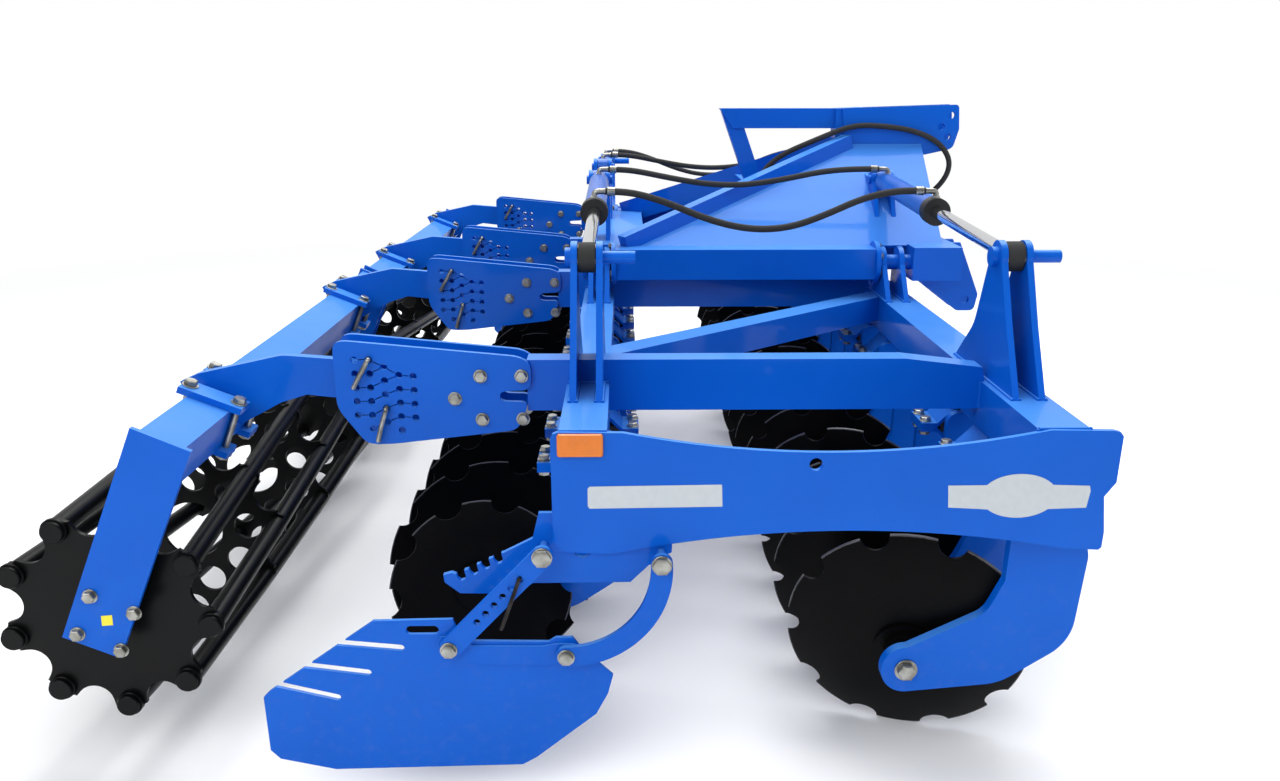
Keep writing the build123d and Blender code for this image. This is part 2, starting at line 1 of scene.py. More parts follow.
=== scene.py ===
"""Finishes, small parts, hoses, light and camera for a folding mounted disc harrow.

Lengths are in metres in the frame of the construction: +X points to the tractor, +Y to the
left of the machine and +Z up, with the ground at Z = 0.
"""
from __future__ import annotations

import json
import logging
import math
from dataclasses import dataclass, field
from enum import Enum

import bmesh
import bpy
import numpy as np
from mathutils import Euler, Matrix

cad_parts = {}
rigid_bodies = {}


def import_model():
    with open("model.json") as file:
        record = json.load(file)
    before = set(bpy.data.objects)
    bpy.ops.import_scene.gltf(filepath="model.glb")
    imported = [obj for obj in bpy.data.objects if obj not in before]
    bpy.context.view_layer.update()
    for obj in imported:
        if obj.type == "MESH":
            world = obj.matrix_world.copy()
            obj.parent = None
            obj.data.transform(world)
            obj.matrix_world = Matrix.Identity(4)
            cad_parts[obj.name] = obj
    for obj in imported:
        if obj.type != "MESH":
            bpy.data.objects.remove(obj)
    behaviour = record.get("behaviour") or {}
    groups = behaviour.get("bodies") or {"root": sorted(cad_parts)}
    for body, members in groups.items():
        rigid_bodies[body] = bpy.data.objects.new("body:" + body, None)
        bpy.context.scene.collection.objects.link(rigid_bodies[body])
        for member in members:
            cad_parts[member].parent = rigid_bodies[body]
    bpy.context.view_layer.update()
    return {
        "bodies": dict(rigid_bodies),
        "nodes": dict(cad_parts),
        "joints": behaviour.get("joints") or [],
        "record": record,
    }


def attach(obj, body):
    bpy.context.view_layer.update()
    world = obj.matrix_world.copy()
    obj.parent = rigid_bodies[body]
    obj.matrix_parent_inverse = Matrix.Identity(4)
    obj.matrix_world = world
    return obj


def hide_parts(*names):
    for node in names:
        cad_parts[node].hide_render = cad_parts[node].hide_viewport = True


LOG = logging.getLogger("harrow")

Link = "bpy.types.NodeSocket"
Colour = tuple[float, float, float, float]
Point = tuple[float, float, float]
Spot = tuple[float, float]

# Discs of a row: angles in degrees, then sizes and places
DISC_YAW = 15.4
DISC_TILT = 11.5
DISC_RADIUS = 0.280
SMALL_DISC_RADIUS = 0.225    # the outermost disc of each row's far end
SMALL_DISC_LIFT = 0.050      # which also runs this much higher
DISC_THICK = 0.006
DISC_FIRST_Y = 1.810
DISC_PITCH = 0.250
DISCS_A_ROW = 15
DISCS_A_WING = 8             # of a row, on the wing where its numbers start
DISC_ROWS = (("front", -1.0, 0.738), ("rear", 1.0, -0.277))    # name, side of the first disc, X

# Lift cylinders: X of both, the rods' eyes, and where hoses leave them as Y and Z
CYLINDER_X = (-0.013, 0.980)
EYE_Y = 1.600
EYE_Z = 1.135
EYE_SLEEVE = 0.0352          # radius of the boot over an eye
EYE_SLEEVE_LENGTH = 0.0415
PORTS = (((0.387, 1.196), (0.390, 1.243)), ((0.963, 1.168), (0.966, 1.225)))    # foot and top
PORT_REACH = 0.032           # from a port's axis to the hose's end
ELBOW_R = 0.0085


def srgb(red: int, green: int, blue: int) -> Colour:
    """Linear colour of an 8-bit screen colour.

    Args:
        red: Red from 0 to 255.
        green: Green from 0 to 255.
        blue: Blue from 0 to 255.

    Returns:
        Red, green, blue and alpha in linear light.
    """
    screen = np.array([red, green, blue]) / 255
    linear = np.where(screen <= 0.04045, screen / 12.92, ((screen + 0.055) / 1.055) ** 2.4)
    return (*(float(value) for value in linear), 1.0)


class Term:
    """A node's output that takes part in Python arithmetic, one Math node an operation."""

    def __init__(self, shader: "Shader", link: Link) -> None:
        """Keep the shader that owns the link."""
        self.shader = shader
        self.link = link

    def math(self, operation: str, *others: "Term | float") -> "Term":
        """Join this value with others in one Math node.

        Args:
            operation: Name of the Math node's operation.
            others: Further values or terms.

        Returns:
            The result as a term.
        """
        inputs = dict(enumerate((self, *others)))
        return self.shader.node("ShaderNodeMath", {"operation": operation}, inputs)

    def __add__(self, other: "Term | float") -> "Term":
        """Sum."""
        return self.math("ADD", other)

    __radd__ = __add__

    def __mul__(self, other: "Term | float") -> "Term":
        """Product."""
        return self.math("MULTIPLY", other)

    __rmul__ = __mul__

    def __sub__(self, other: "Term | float") -> "Term":
        """Difference."""
        return self.math("SUBTRACT", other)

    def __rsub__(self, other: float) -> "Term":
        """Number minus this term."""
        return self.math("MULTIPLY_ADD", -1.0, other)

    def __truediv__(self, other: "Term | float") -> "Term":
        """Quotient."""
        return self.math("DIVIDE", other)

    def step(self, low: float, high: float) -> "Term":
        """Smooth step from 0 at low to 1 at high.

        Args:
            low: Value where the result is 0.
            high: Value where the result is 1.

        Returns:
            The stepped value, between 0 and 1.
        """
        settings = {"interpolation_type": "SMOOTHSTEP"}
        return self.shader.node("ShaderNodeMapRange", settings,
                                {0: self, 1: low, 2: high, 3: 0.0, 4: 1.0})


class Shader:
    """A material with one Principled shader and short ways to feed it."""

    def __init__(self, name: str) -> None:
        """Start a material of that name with an empty tree and a Principled shader."""
        self.material = bpy.data.materials.new(name)
        self.material.use_nodes = True
        self.tree = self.material.node_tree
        self.tree.nodes.clear()
        self.output = self.tree.nodes.new("ShaderNodeOutputMaterial")
        self.surface = self.tree.nodes.new("ShaderNodeBsdfPrincipled")
        self.tree.links.new(self.surface.outputs[0], self.output.inputs[0])

    def node(self, kind: str, settings: dict, inputs: dict, output: int | str = 0) -> Term:
        """Add any node, with its settings first and its sockets after.

        Args:
            kind: The node's type name.
            settings: Attributes of the node; "stops" holds a ramp's (place, colour) pairs.
            inputs: Values or terms by socket name or index.
            output: Name or index of the output to return.

        Returns:
            That output as a term.
        """
        made = self.tree.nodes.new(kind)
        for name, value in settings.items():
            if name == "stops":
                self.set_stops(made.color_ramp, value)
            else:
                setattr(made, name, value)
        for socket, value in inputs.items():
            self.plug(made.inputs[socket], value)
        return Term(self, made.outputs[output])

    @staticmethod
    def set_stops(ramp: "bpy.types.ColorRamp", stops: list[tuple[float, Colour]]) -> None:
        """Give a ramp its stops.

        Args:
            ramp: The ramp.
            stops: Place and colour of each stop.
        """
        while len(ramp.elements) < len(stops):
            ramp.elements.new(1.0)
        for element, (place, colour) in zip(ramp.elements, stops):
            element.position = place
            element.color = colour

    def plug(self, socket: Link, value: "Term | float | tuple") -> None:
        """Link a term to a socket, or set the socket's value.

        Args:
            socket: The socket to feed.
            value: A term, or a number, tuple or colour.
        """
        if isinstance(value, Term):
            self.tree.links.new(value.link, socket)
        else:
            socket.default_value = value

    def feed(self, **inputs: "Term | float | tuple") -> None:
        """Set the Principled shader's sockets; an underscore stands for a space."""
        for name, value in inputs.items():
            self.plug(self.surface.inputs[name.replace("_", " ")], value)

    def place(self) -> Term:
        """Object coordinates."""
        return self.node("ShaderNodeTexCoord", {}, {}, "Object")

    def stretched(self, scale: Point) -> Term:
        """Object coordinates multiplied by a scale in each direction."""
        return self.node("ShaderNodeMapping", {}, {"Vector": self.place(), "Scale": scale})

    def axis(self, index: int) -> Term:
        """One of the object coordinates: 0 is X, 1 is Y and 2 is Z."""
        return self.node("ShaderNodeSeparateXYZ", {}, {0: self.place()}, index)

    def facing(self, index: int) -> Term:
        """One part of the surface normal: 0 is X, 1 is Y and 2 is Z."""
        normal = self.node("ShaderNodeNewGeometry", {}, {}, "Normal")
        return self.node("ShaderNodeSeparateXYZ", {}, {0: normal}, index)

    def noise(self, scale: float, detail: float = 3.0, vector: Term | None = None) -> Term:
        """Noise value between 0 and 1 at a number of features a metre.

        Args:
            scale: Features a metre.
            detail: Octaves.
            vector: Coordinates, or the object's own.

        Returns:
            The noise as a term.
        """
        inputs = {"Vector": vector or self.place(), "Scale": scale, "Detail": detail}
        return self.node("ShaderNodeTexNoise", {}, inputs, 0)

    def cells(self, scale: float, feature: str = "F1", vector: Term | None = None) -> Term:
        """Distance to the nearest cell point at a number of cells a metre."""
        inputs = {"Vector": vector or self.place(), "Scale": scale}
        return self.node("ShaderNodeTexVoronoi", {"feature": feature}, inputs, "Distance")

    def blend(self, factor: Term, first: "Term | Colour", second: "Term | Colour") -> Term:
        """Mix two colours.

        Args:
            factor: 0 for the first colour, 1 for the second.
            first: First colour.
            second: Second colour.

        Returns:
            The mixed colour.
        """
        return self.node("ShaderNodeMix", {"data_type": "RGBA"},
                         {0: factor, 6: first, 7: second}, 2)

    def bump(self, height: Term, depth: float, strength: float = 1.0) -> Term:
        """Normal of a surface raised by height, at most depth metres."""
        return self.node("ShaderNodeBump", {},
                         {"Height": height, "Distance": depth, "Strength": strength})


@dataclass(frozen=True)
class Paint:
    """Glossy machine paint: orange peel, a little tone variation, settled dust low down and painted
    top light, a paler blue on faces that look up.
    """

    name: str
    colour: Colour
    shade: Colour
    dust: Colour = srgb(150, 142, 128)
    # Paler blue painted on faces that look up: painted light from the sky, not a colour of the
    # paint.
    painted_top_light: Colour = srgb(104, 178, 240)
    roughness: float = 0.40
    coat: float = 0.22
    dusting: float = 0.06

    def make(self) -> "bpy.types.Material":
        """Build the material.

        Returns:
            The material.
        """
        shader = Shader(self.name)
        tone = shader.noise(2.3, 4.0).step(0.30, 0.72)
        painted = shader.blend(tone * 0.6, self.colour, self.shade)
        # Painted top light: faces that look up are blended towards the paler blue, as if lit from
        # above.
        top_light_mask = shader.facing(2).step(0.55, 0.98) * (0.85 + tone * 0.15)
        painted = shader.blend(top_light_mask * 0.38, painted, self.painted_top_light)
        speckle = shader.noise(38.0, 5.0).step(0.46, 0.78)
        upward = shader.facing(2).step(0.35, 1.0)
        low = 1.0 - shader.axis(2).step(0.05, 0.75)
        dusty = speckle * (upward * 0.20 + low * 0.80) * self.dusting
        cloud = shader.noise(11.0, 4.0).step(0.3, 0.8)
        peel = shader.noise(420.0, 2.0)
        shader.feed(Base_Color=shader.blend(dusty, painted, self.dust),
                    Roughness=self.roughness + cloud * 0.08 + dusty * 0.5,
                    Normal=shader.bump(peel, 0.0003, 0.25),
                    Coat_Weight=self.coat, Coat_Roughness=0.08, Specular_IOR_Level=0.08)
        return shader.material


@dataclass(frozen=True)
class Steel:
    """Bare or plated steel with fine scratches and cloudy plating."""

    name: str
    colour: Colour
    stain: Colour
    roughness: float
    grain: Point = (60.0, 60.0, 60.0)

    def make(self) -> "bpy.types.Material":
        """Build the material.

        Returns:
            The material.
        """
        shader = Shader(self.name)
        cloud = shader.noise(30.0, 4.0).step(0.32, 0.75)
        scratch = shader.noise(14.0, 6.0, shader.stretched(self.grain))
        shader.feed(Base_Color=shader.blend(cloud, self.colour, self.stain), Metallic=1.0,
                    Roughness=self.roughness + cloud * 0.10 + scratch * 0.06,
                    Normal=shader.bump(scratch, 0.0002, 0.2))
        return shader.material


@dataclass(frozen=True)
class BlackSteel:
    """Satin black enamel on forged steel, scuffed to a greyer tone in fine arcs."""

    name: str
    colour: Colour
    scuff: Colour
    roughness: float
    coat: float = 0.0

    def make(self) -> "bpy.types.Material":
        """Build the material.

        Returns:
            The material.
        """
        shader = Shader(self.name)
        cloud = shader.noise(6.0, 5.0).step(0.42, 0.80)
        fine = shader.noise(150.0, 3.0).step(0.55, 0.85)
        worn = cloud * 0.45 + fine * 0.25
        shader.feed(Base_Color=shader.blend(worn, self.colour, self.scuff),
                    Roughness=self.roughness + cloud * 0.12,
                    Normal=shader.bump(shader.noise(240.0, 2.0), 0.0004, 0.25),
                    Coat_Weight=self.coat, Coat_Roughness=0.2, Specular_IOR_Level=0.10)
        return shader.material


@dataclass(frozen=True)
class Rubber:
    """Black rubber with a faint grain and a dusty bloom."""

    name: str
    colour: Colour = srgb(24, 24, 25)
    bloom: Colour = srgb(58, 57, 56)
    roughness: float = 0.62

    def make(self) -> "bpy.types.Material":
        """Build the material.

        Returns:
            The material.
        """
        shader = Shader(self.name)
        cloud = shader.noise(18.0, 4.0).step(0.4, 0.8)
        shader.feed(Base_Color=shader.blend(cloud * 0.5, self.colour, self.bloom),
                    Roughness=self.roughness + cloud * 0.12,
                    Normal=shader.bump(shader.noise(600.0, 2.0), 0.0003, 0.35))
        return shader.material


@dataclass(frozen=True)
class Floor:
    """Pale floor that keeps shadows near the machine and fades to white around it."""

    name: str = "pale_floor"
    colour: Colour = (0.92, 0.92, 0.92, 1.0)
    clear_from: float = 3.4
    clear_to: float = 7.5

    def make(self) -> "bpy.types.Material":
        """Build the material.

        Returns:
            The material.
        """
        shader = Shader(self.name)
        grain = shader.noise(24.0, 3.0)
        shader.feed(Base_Color=shader.blend(grain * 0.05, self.colour, (0.88, 0.88, 0.88, 1.0)),
                    Roughness=0.85, Specular_IOR_Level=0.15)
        far = shader.node("ShaderNodeVectorMath", {"operation": "LENGTH"}, {0: shader.place()}, 1)
        seen = self.seen_rays(shader)
        white = shader.node("ShaderNodeEmission", {},
                            {"Color": (1.0, 1.0, 1.0, 1.0), "Strength": 1.0})
        factor = far.step(self.clear_from, self.clear_to) * seen
        mixed = shader.tree.nodes.new("ShaderNodeMixShader")
        shader.plug(mixed.inputs[0], factor)
        shader.tree.links.new(shader.surface.outputs[0], mixed.inputs[1])
        shader.tree.links.new(white.link, mixed.inputs[2])
        shader.tree.links.new(mixed.outputs[0], shader.output.inputs[0])
        return shader.material

    @staticmethod
    def seen_rays(shader: Shader) -> Term:
        """1 for rays that show the background: camera, glossy and transmission rays.

        Args:
            shader: Shader that owns the nodes.

        Returns:
            1 for such a ray and 0 for any other.
        """
        camera = shader.node("ShaderNodeLightPath", {}, {}, "Is Camera Ray")
        glossy = shader.node("ShaderNodeLightPath", {}, {}, "Is Glossy Ray")
        through = shader.node("ShaderNodeLightPath", {}, {}, "Is Transmission Ray")
        return camera.math("MAXIMUM", glossy).math("MAXIMUM", through)


@dataclass(frozen=True)
class DiscEnamel:
    """Black enamel on one disc: faint turning rings round its axis and a rim rubbed bright."""

    name: str
    centre: Point
    axis: Point
    radius: float
    colour: Colour = srgb(7, 7, 8)
    scuff: Colour = srgb(22, 21, 21)
    steel: Colour = srgb(110, 110, 112)

    def make(self) -> "bpy.types.Material":
        """Build the material; the distance from the disc's axis carries rings and rim.

        Returns:
            The material.
        """
        shader = Shader(self.name)
        away = self.away(shader)
        ring = away.math("MULTIPLY", 1400.0).math("SINE")
        cloud = shader.noise(5.0, 5.0).step(0.40, 0.78)
        smear = shader.noise(90.0, 3.0).step(0.55, 0.85)
        ragged = away + shader.noise(60.0, 3.0) * 0.004
        rim = ragged.step(self.radius - 0.002, self.radius + 0.001)
        worn = cloud * 0.35 + smear * 0.20 + ring * 0.05
        painted = shader.blend(worn, self.colour, self.scuff)
        height = ring * 0.3 + shader.noise(240.0, 2.0)
        shader.feed(Base_Color=shader.blend(rim * 0.7, painted, self.steel),
                    Metallic=rim * 0.7, Roughness=0.34 + cloud * 0.14,
                    Normal=shader.bump(height, 0.0004, 0.3), Specular_IOR_Level=0.06)
        return shader.material

    def away(self, shader: Shader) -> Term:
        """Distance from the disc's axis: the root of the squared distance from its centre less
        the squared part of it along the axis.

        Args:
            shader: Shader that owns the nodes.

        Returns:
            The distance in metres.
        """
        arm = shader.node("ShaderNodeVectorMath", {"operation": "SUBTRACT"},
                          {0: shader.place(), 1: self.centre})
        along = shader.node("ShaderNodeVectorMath", {"operation": "DOT_PRODUCT"},
                            {0: arm, 1: self.axis}, 1)
        reach = shader.node("ShaderNodeVectorMath", {"operation": "LENGTH"}, {0: arm}, 1)
        return (reach * reach - along * along).math("MAXIMUM", 0.0).math("SQRT")


@dataclass(frozen=True)
class CylinderFinish:
    """Barrel or rod of a lift cylinder: a main colour, and black where the gland and eyes are."""

    name: str
    colour: Colour
    metallic: float
    roughness: float
    black_ends: bool
    gland_at: float = 0.646
    eye_reach: float = 1.262
    base: tuple[float, float] = (0.300, 1.200)
    eye: tuple[float, float] = (1.600, 1.135)
    black: Colour = srgb(16, 16, 17)

    def make(self) -> "bpy.types.Material":
        """Build the material; the place along the cylinder's line says where black starts.

        Returns:
            The material.
        """
        shader = Shader(self.name)
        across = shader.axis(1).math("ABSOLUTE") - self.base[0]
        up = shader.axis(2) - self.base[1]
        run, rise = self.eye[0] - self.base[0], self.eye[1] - self.base[1]
        length = math.hypot(run, rise)
        along = across * (run / length) + up * (rise / length)
        start = self.eye_reach if self.black_ends else self.gland_at
        dark = along.step(start, start + 0.001)
        cloud = shader.noise(26.0, 4.0).step(0.35, 0.8)
        shader.feed(Base_Color=shader.blend(dark, self.colour, self.black),
                    Metallic=(1.0 - dark) * self.metallic,
                    Roughness=self.roughness + dark * 0.28 + cloud * 0.06,
                    Normal=shader.bump(shader.noise(300.0, 2.0), 0.0002, 0.2))
        return shader.material


@dataclass(frozen=True)
class FlatFinish:
    """Printed foil, moulded lens or plain enamel: one colour with a faint mottling."""

    name: str
    colour: Colour
    mottle: Colour
    roughness: float = 0.35
    scale: float = 60.0
    coat: float = 0.2

    def make(self) -> "bpy.types.Material":
        """Build the material.

        Returns:
            The material.
        """
        shader = Shader(self.name)
        cloud = shader.noise(self.scale, 3.0).step(0.35, 0.75)
        shader.feed(Base_Color=shader.blend(cloud * 0.5, self.colour, self.mottle),
                    Roughness=self.roughness + cloud * 0.08,
                    Normal=shader.bump(shader.cells(self.scale * 6), 0.0004, 0.2),
                    Coat_Weight=self.coat, Coat_Roughness=0.1)
        return shader.material


class Finish(Enum):
    """Every finish on the machine."""

    BLUE = Paint("blue_gloss_paint", srgb(2, 90, 196), srgb(1, 80, 182))
    ROLLER = BlackSteel("black_roller_paint", srgb(8, 9, 10), srgb(22, 21, 21), 0.34, 0.08)
    BARREL = CylinderFinish("blue_cylinder_paint", srgb(6, 84, 178), 0.0, 0.30, False)
    CHROME = CylinderFinish("chromed_rod", srgb(222, 226, 230), 1.0, 0.12, True)
    ZINC = Steel("zinc_plate", srgb(176, 176, 170), srgb(132, 130, 122), 0.30)
    DARK_STEEL = Steel("burnished_pin", srgb(62, 58, 55), srgb(40, 37, 35), 0.38)
    RUBBER = Rubber("black_rubber")
    FOIL = FlatFinish("grey_foil", srgb(186, 192, 196), srgb(176, 183, 188))
    AMBER = FlatFinish("amber_lens", srgb(212, 112, 8), srgb(196, 98, 6), 0.22, 45.0, 0.15)
    YELLOW = FlatFinish("yellow_foil", srgb(236, 220, 40), srgb(226, 208, 34))

    def material(self) -> "bpy.types.Material":
        """The finish's material, made on first use."""
        return bpy.data.materials.get(self.value.name) or self.value.make()


def turned(profile: list[tuple[float, float]], place: Point, axis: Point,
           sides: int = 20) -> np.ndarray:
    """Surface of revolution: place + axis * distance + radius * (cos a * u + sin a * v).

    Args:
        profile: Distance along the axis and radius of each ring.
        place: Point where the distance is 0.
        axis: Direction of the axis.
        sides: Points a ring; six make a hexagon head.

    Returns:
        Points as (rings, sides, 3).
    """
    line = np.array(axis, float) / np.linalg.norm(axis)
    other = np.array((0.0, 0.0, 1.0)) if abs(line[2]) < 0.9 else np.array((1.0, 0.0, 0.0))
    u = np.cross(line, other)
    u /= np.linalg.norm(u)
    v = np.cross(line, u)
    angle = 2 * np.pi * np.arange(sides) / sides
    round_it = np.cos(angle)[:, None] * u + np.sin(angle)[:, None] * v
    steps = np.array(profile, float)
    return np.array(place) + steps[:, :1, None] * line + steps[:, 1:, None] * round_it


def carried(path: np.ndarray, radius: float, sides: int = 10, ripple: float = 0.0) -> np.ndarray:
    """Round section carried along a path: each ring stands square to the path's direction; a
    ripple swells it every 7 mm as a weld bead does.

    Args:
        path: Points of the middle line, (count, 3).
        radius: Radius of the section.
        sides: Points a ring.
        ripple: Share by which the radius swells.

    Returns:
        Points as (rings, sides, 3).
    """
    along = np.gradient(path, axis=0)
    along /= np.linalg.norm(along, axis=1, keepdims=True)
    lean = np.array((0.31, 0.22, 0.93))
    u = np.cross(along, lean)
    u /= np.linalg.norm(u, axis=1, keepdims=True)
    v = np.cross(along, u)
    gone = np.r_[0.0, np.cumsum(np.linalg.norm(np.diff(path, axis=0), axis=1))]
    swell = radius * (1 + ripple * np.sin(2 * np.pi * gone / 0.007))
    angle = 2 * np.pi * np.arange(sides) / sides
    ring = np.cos(angle)[None, :, None] * u[:, None] + np.sin(angle)[None, :, None] * v[:, None]
    return path[:, None] + swell[:, None, None] * ring


def rounded(points: list[Point], passes: int = 3) -> np.ndarray:
    """Path with its corners cut: each pass puts points at a quarter and three quarters of every
    side and keeps both ends.

    Args:
        points: Corners of the path.
        passes: How often the corners are cut.

    Returns:
        Points of the smoother path, (count, 3).
    """
    path = np.array(points, float)
    for _ in range(passes):
        near = 0.75 * path[:-1] + 0.25 * path[1:]
        far = 0.25 * path[:-1] + 0.75 * path[1:]
        cut = np.stack([near, far], axis=1).reshape(-1, 3)
        path = np.vstack([path[:1], cut, path[-1:]])
    return path


def slab(outline: list[tuple[float, float]], start: float, end: float, edge: float) -> np.ndarray:
    """Flat piece with broken edges, from an outline in X and Z that is star-shaped about its
    middle: four rings along Y, the outer two drawn in by the edge.

    Args:
        outline: X and Z of its corners in order.
        start: Y of one face.
        end: Y of the other face.
        edge: Width of the broken edge.

    Returns:
        Points as (rings, sides, 3).
    """
    flat = np.array(outline, float)
    middle = flat.mean(axis=0)
    reach = np.linalg.norm(flat - middle, axis=1, keepdims=True)
    small = middle + (flat - middle) * (1 - edge / reach)
    turn = math.copysign(min(edge, abs(end - start) / 3), end - start)
    levels = (start, start + turn, end - turn, end)
    rings = [np.insert(ring, 1, level, axis=1)
             for ring, level in zip((small, flat, flat, small), levels)]
    return np.stack(rings)


def ring_of(x: float, z: float, radius: float, sides: int = 20) -> np.ndarray:
    """Circle in X and Z: middle + radius * (cos a, sin a)."""
    angle = 2 * np.pi * np.arange(sides) / sides
    return np.stack([x + radius * np.cos(angle), z + radius * np.sin(angle)], axis=1)


def slot_between(start: Spot, end: Spot, half: float, sides: int = 8) -> np.ndarray:
    """Outline of a slot: half circles round both ends of a line, joined by straight sides.

    Args:
        start: Middle of one half circle.
        end: Middle of the other.
        half: Half of the width.
        sides: Points of a half circle.

    Returns:
        Outline as (count, 2).
    """
    lean = math.atan2(end[1] - start[1], end[0] - start[0])
    first = lean + np.pi / 2 + np.linspace(0.0, np.pi, sides)
    last = lean - np.pi / 2 + np.linspace(0.0, np.pi, sides)
    near = np.stack([start[0] + half * np.cos(first), start[1] + half * np.sin(first)], axis=1)
    far = np.stack([end[0] + half * np.cos(last), end[1] + half * np.sin(last)], axis=1)
    return np.vstack([near, far])


def softened(outline: list[Spot], cut: float = 0.012) -> np.ndarray:
    """Outline with each corner cut by a short quadratic curve, from up to a length before it.

    Args:
        outline: Corners in order.
        cut: Longest distance before a corner at which its curve starts.

    Returns:
        Outline as (count, 2).
    """
    flat = np.array(outline, float)
    before, after = np.roll(flat, 1, axis=0), np.roll(flat, -1, axis=0)
    back = before - flat
    ahead = after - flat
    reach_back = np.linalg.norm(back, axis=1, keepdims=True)
    reach_ahead = np.linalg.norm(ahead, axis=1, keepdims=True)
    start = flat + back / reach_back * np.minimum(cut, 0.4 * reach_back)
    end = flat + ahead / reach_ahead * np.minimum(cut, 0.4 * reach_ahead)
    share = np.linspace(0.0, 1.0, 5)[None, :, None]
    curve = ((1 - share) ** 2 * start[:, None] + 2 * share * (1 - share) * flat[:, None]
             + share ** 2 * end[:, None])
    return curve.reshape(-1, 2)


def cut_plate(outer: np.ndarray, holes: list, start: float, end: float) -> tuple[np.ndarray, list]:
    """Flat plate with holes: a filled flat curve given its thickness, then stood up so that its
    outline lies in X and Z.

    Args:
        outer: Outline as (count, 2).
        holes: Outlines of the holes.
        start: Y of one face.
        end: Y of the other face.

    Returns:
        Points and faces of a closed mesh.
    """
    curve = bpy.data.curves.new("cut", "CURVE")
    curve.dimensions = "2D"
    curve.fill_mode = "BOTH"
    curve.extrude = abs(end - start) / 2
    for outline in (outer, *holes):
        spline = curve.splines.new("POLY")
        spline.points.add(len(outline) - 1)
        level = np.zeros((len(outline), 1))
        spline.points.foreach_set("co", np.hstack([outline, level, level + 1]).ravel())
        spline.use_cyclic_u = True
    flat = bpy.data.objects.new("cut", curve)
    mesh = bpy.data.meshes.new_from_object(flat)
    bpy.data.objects.remove(flat)
    shape = bmesh.new()
    shape.from_mesh(mesh)
    bmesh.ops.remove_doubles(shape, verts=shape.verts, dist=1e-5)
    bmesh.ops.recalc_face_normals(shape, faces=shape.faces)
    shape.to_mesh(mesh)
    shape.free()
    lying = np.empty(3 * len(mesh.vertices))
    mesh.vertices.foreach_get("co", lying)
    lying = lying.reshape(-1, 3)
    standing = np.stack([lying[:, 0], (start + end) / 2 - lying[:, 2], lying[:, 1]], axis=1)
    faces = [tuple(face.vertices) for face in mesh.polygons]
    bpy.data.meshes.remove(mesh)
    return standing, faces


@dataclass
class Piece:
    """One piece of the scene, gathered from closed surfaces and made one mesh."""

    name: str
    finish: "Finish"
    body: str
    sharp_from: float = 34.0
    points: list = field(default_factory=list)
    faces: list = field(default_factory=list)
    count: int = 0

    def add(self, grid: np.ndarray) -> None:
        """Add a tube-like surface whose first and last ring are closed by a fan.

        Args:
            grid: Points as (rings, sides, 3).
        """
        rings, sides, _ = grid.shape
        here = self.count + np.arange(rings * sides).reshape(rings, sides)
        beside = np.roll(here, -1, axis=1)
        first, last = self.count + rings * sides, self.count + rings * sides + 1
        walls = np.stack([here[:-1], beside[:-1], beside[1:], here[1:]], axis=-1).reshape(-1, 4)
        start = np.stack([beside[0], here[0], np.full(sides, first)], axis=-1)
        end = np.stack([here[-1], beside[-1], np.full(sides, last)], axis=-1)
        cloud = np.vstack([grid.reshape(-1, 3), grid[0].mean(axis=0), grid[-1].mean(axis=0)])
        corners = cloud[np.vstack([walls[:, :3], walls[:, [0, 2, 3]], start, end]) - self.count]
        volume = np.einsum("ij,ij->", corners[:, 0], np.cross(corners[:, 1], corners[:, 2]))
        order = 1 if volume > 0 else -1
        self.points.append(cloud)
        self.faces += (walls[:, ::order].tolist() + start[:, ::order].tolist()
                       + end[:, ::order].tolist())
        self.count += len(cloud)

    def add_plate(self, outer: np.ndarray, holes: list, start: float, end: float) -> None:
        """Add a flat plate with holes; outlines are in X and Z and it spans start to end in Y.

        Args:
            outer: Outline of the plate.
            holes: Outlines of the holes.
            start: Y of one face.
            end: Y of the other face.
        """
        points, faces = cut_plate(outer, holes, start, end)
        self.points.append(points)
        self.faces += [tuple(corner + self.count for corner in face) for face in faces]
        self.count += len(points)

    def bolt(self, place: Point, axis: Point, head: tuple[float, float] = (0.0139, 0.011),
             washer: tuple[float, float] = (0.0165, 0.003)) -> None:
        """Add a hexagon head on a washer.

        Args:
            place: Middle of the washer's foot.
            axis: Direction that the head looks to.
            head: Corner radius and height of the head.
            washer: Radius and thickness of the washer.
        """
        radius, high = head
        wide, thick = washer
        self.add(turned([(0, wide), (thick - 0.0006, wide), (thick, wide - 0.0008)],
                        place, axis, 24))
        low = thick - 0.0004
        self.add(turned([(low, radius), (low + high * 0.86, radius), (low + high, radius * 0.84)],
                        place, axis, 6))

    def tube(self, points: list[Point], radius: float, passes: int = 3, sides: int = 10) -> None:
        """Add a round bar or wire along a path with rounded bends."""
        self.add(carried(rounded(points, passes), radius, sides))

    def weld(self, start: Point, end: Point, radius: float = 0.005) -> None:
        """Add a rippled weld bead between two points.

        Args:
            start: One end of the bead.
            end: The other end.
            radius: Radius of the bead.
        """
        steps = max(4, int(math.dist(start, end) / 0.0035))
        share = np.linspace(0.0, 1.0, steps)[:, None]
        path = np.array(start) + share * (np.array(end) - np.array(start))
        self.add(carried(path, radius, 8, 0.10))

    def finished(self, *nodes: str) -> "bpy.types.Object":
        """Make the mesh and put it on its body.

        Args:
            nodes: Construction nodes that the piece stands for.

        Returns:
            The finished object.
        """
        mesh = bpy.data.meshes.new(self.name)
        mesh.from_pydata(np.concatenate(self.points).tolist(), [], self.faces)
        mesh.polygons.foreach_set("use_smooth", np.ones(len(mesh.polygons), bool))
        mesh.set_sharp_from_angle(angle=math.radians(self.sharp_from))
        mesh.materials.append(self.finish.material())
        made = bpy.data.objects.new(self.name, mesh)
        bpy.context.collection.objects.link(made)
        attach(made, self.body)
        if nodes:
            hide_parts(*nodes)
        LOG.info("piece %s: %d faces", self.name, len(self.faces))
        return made


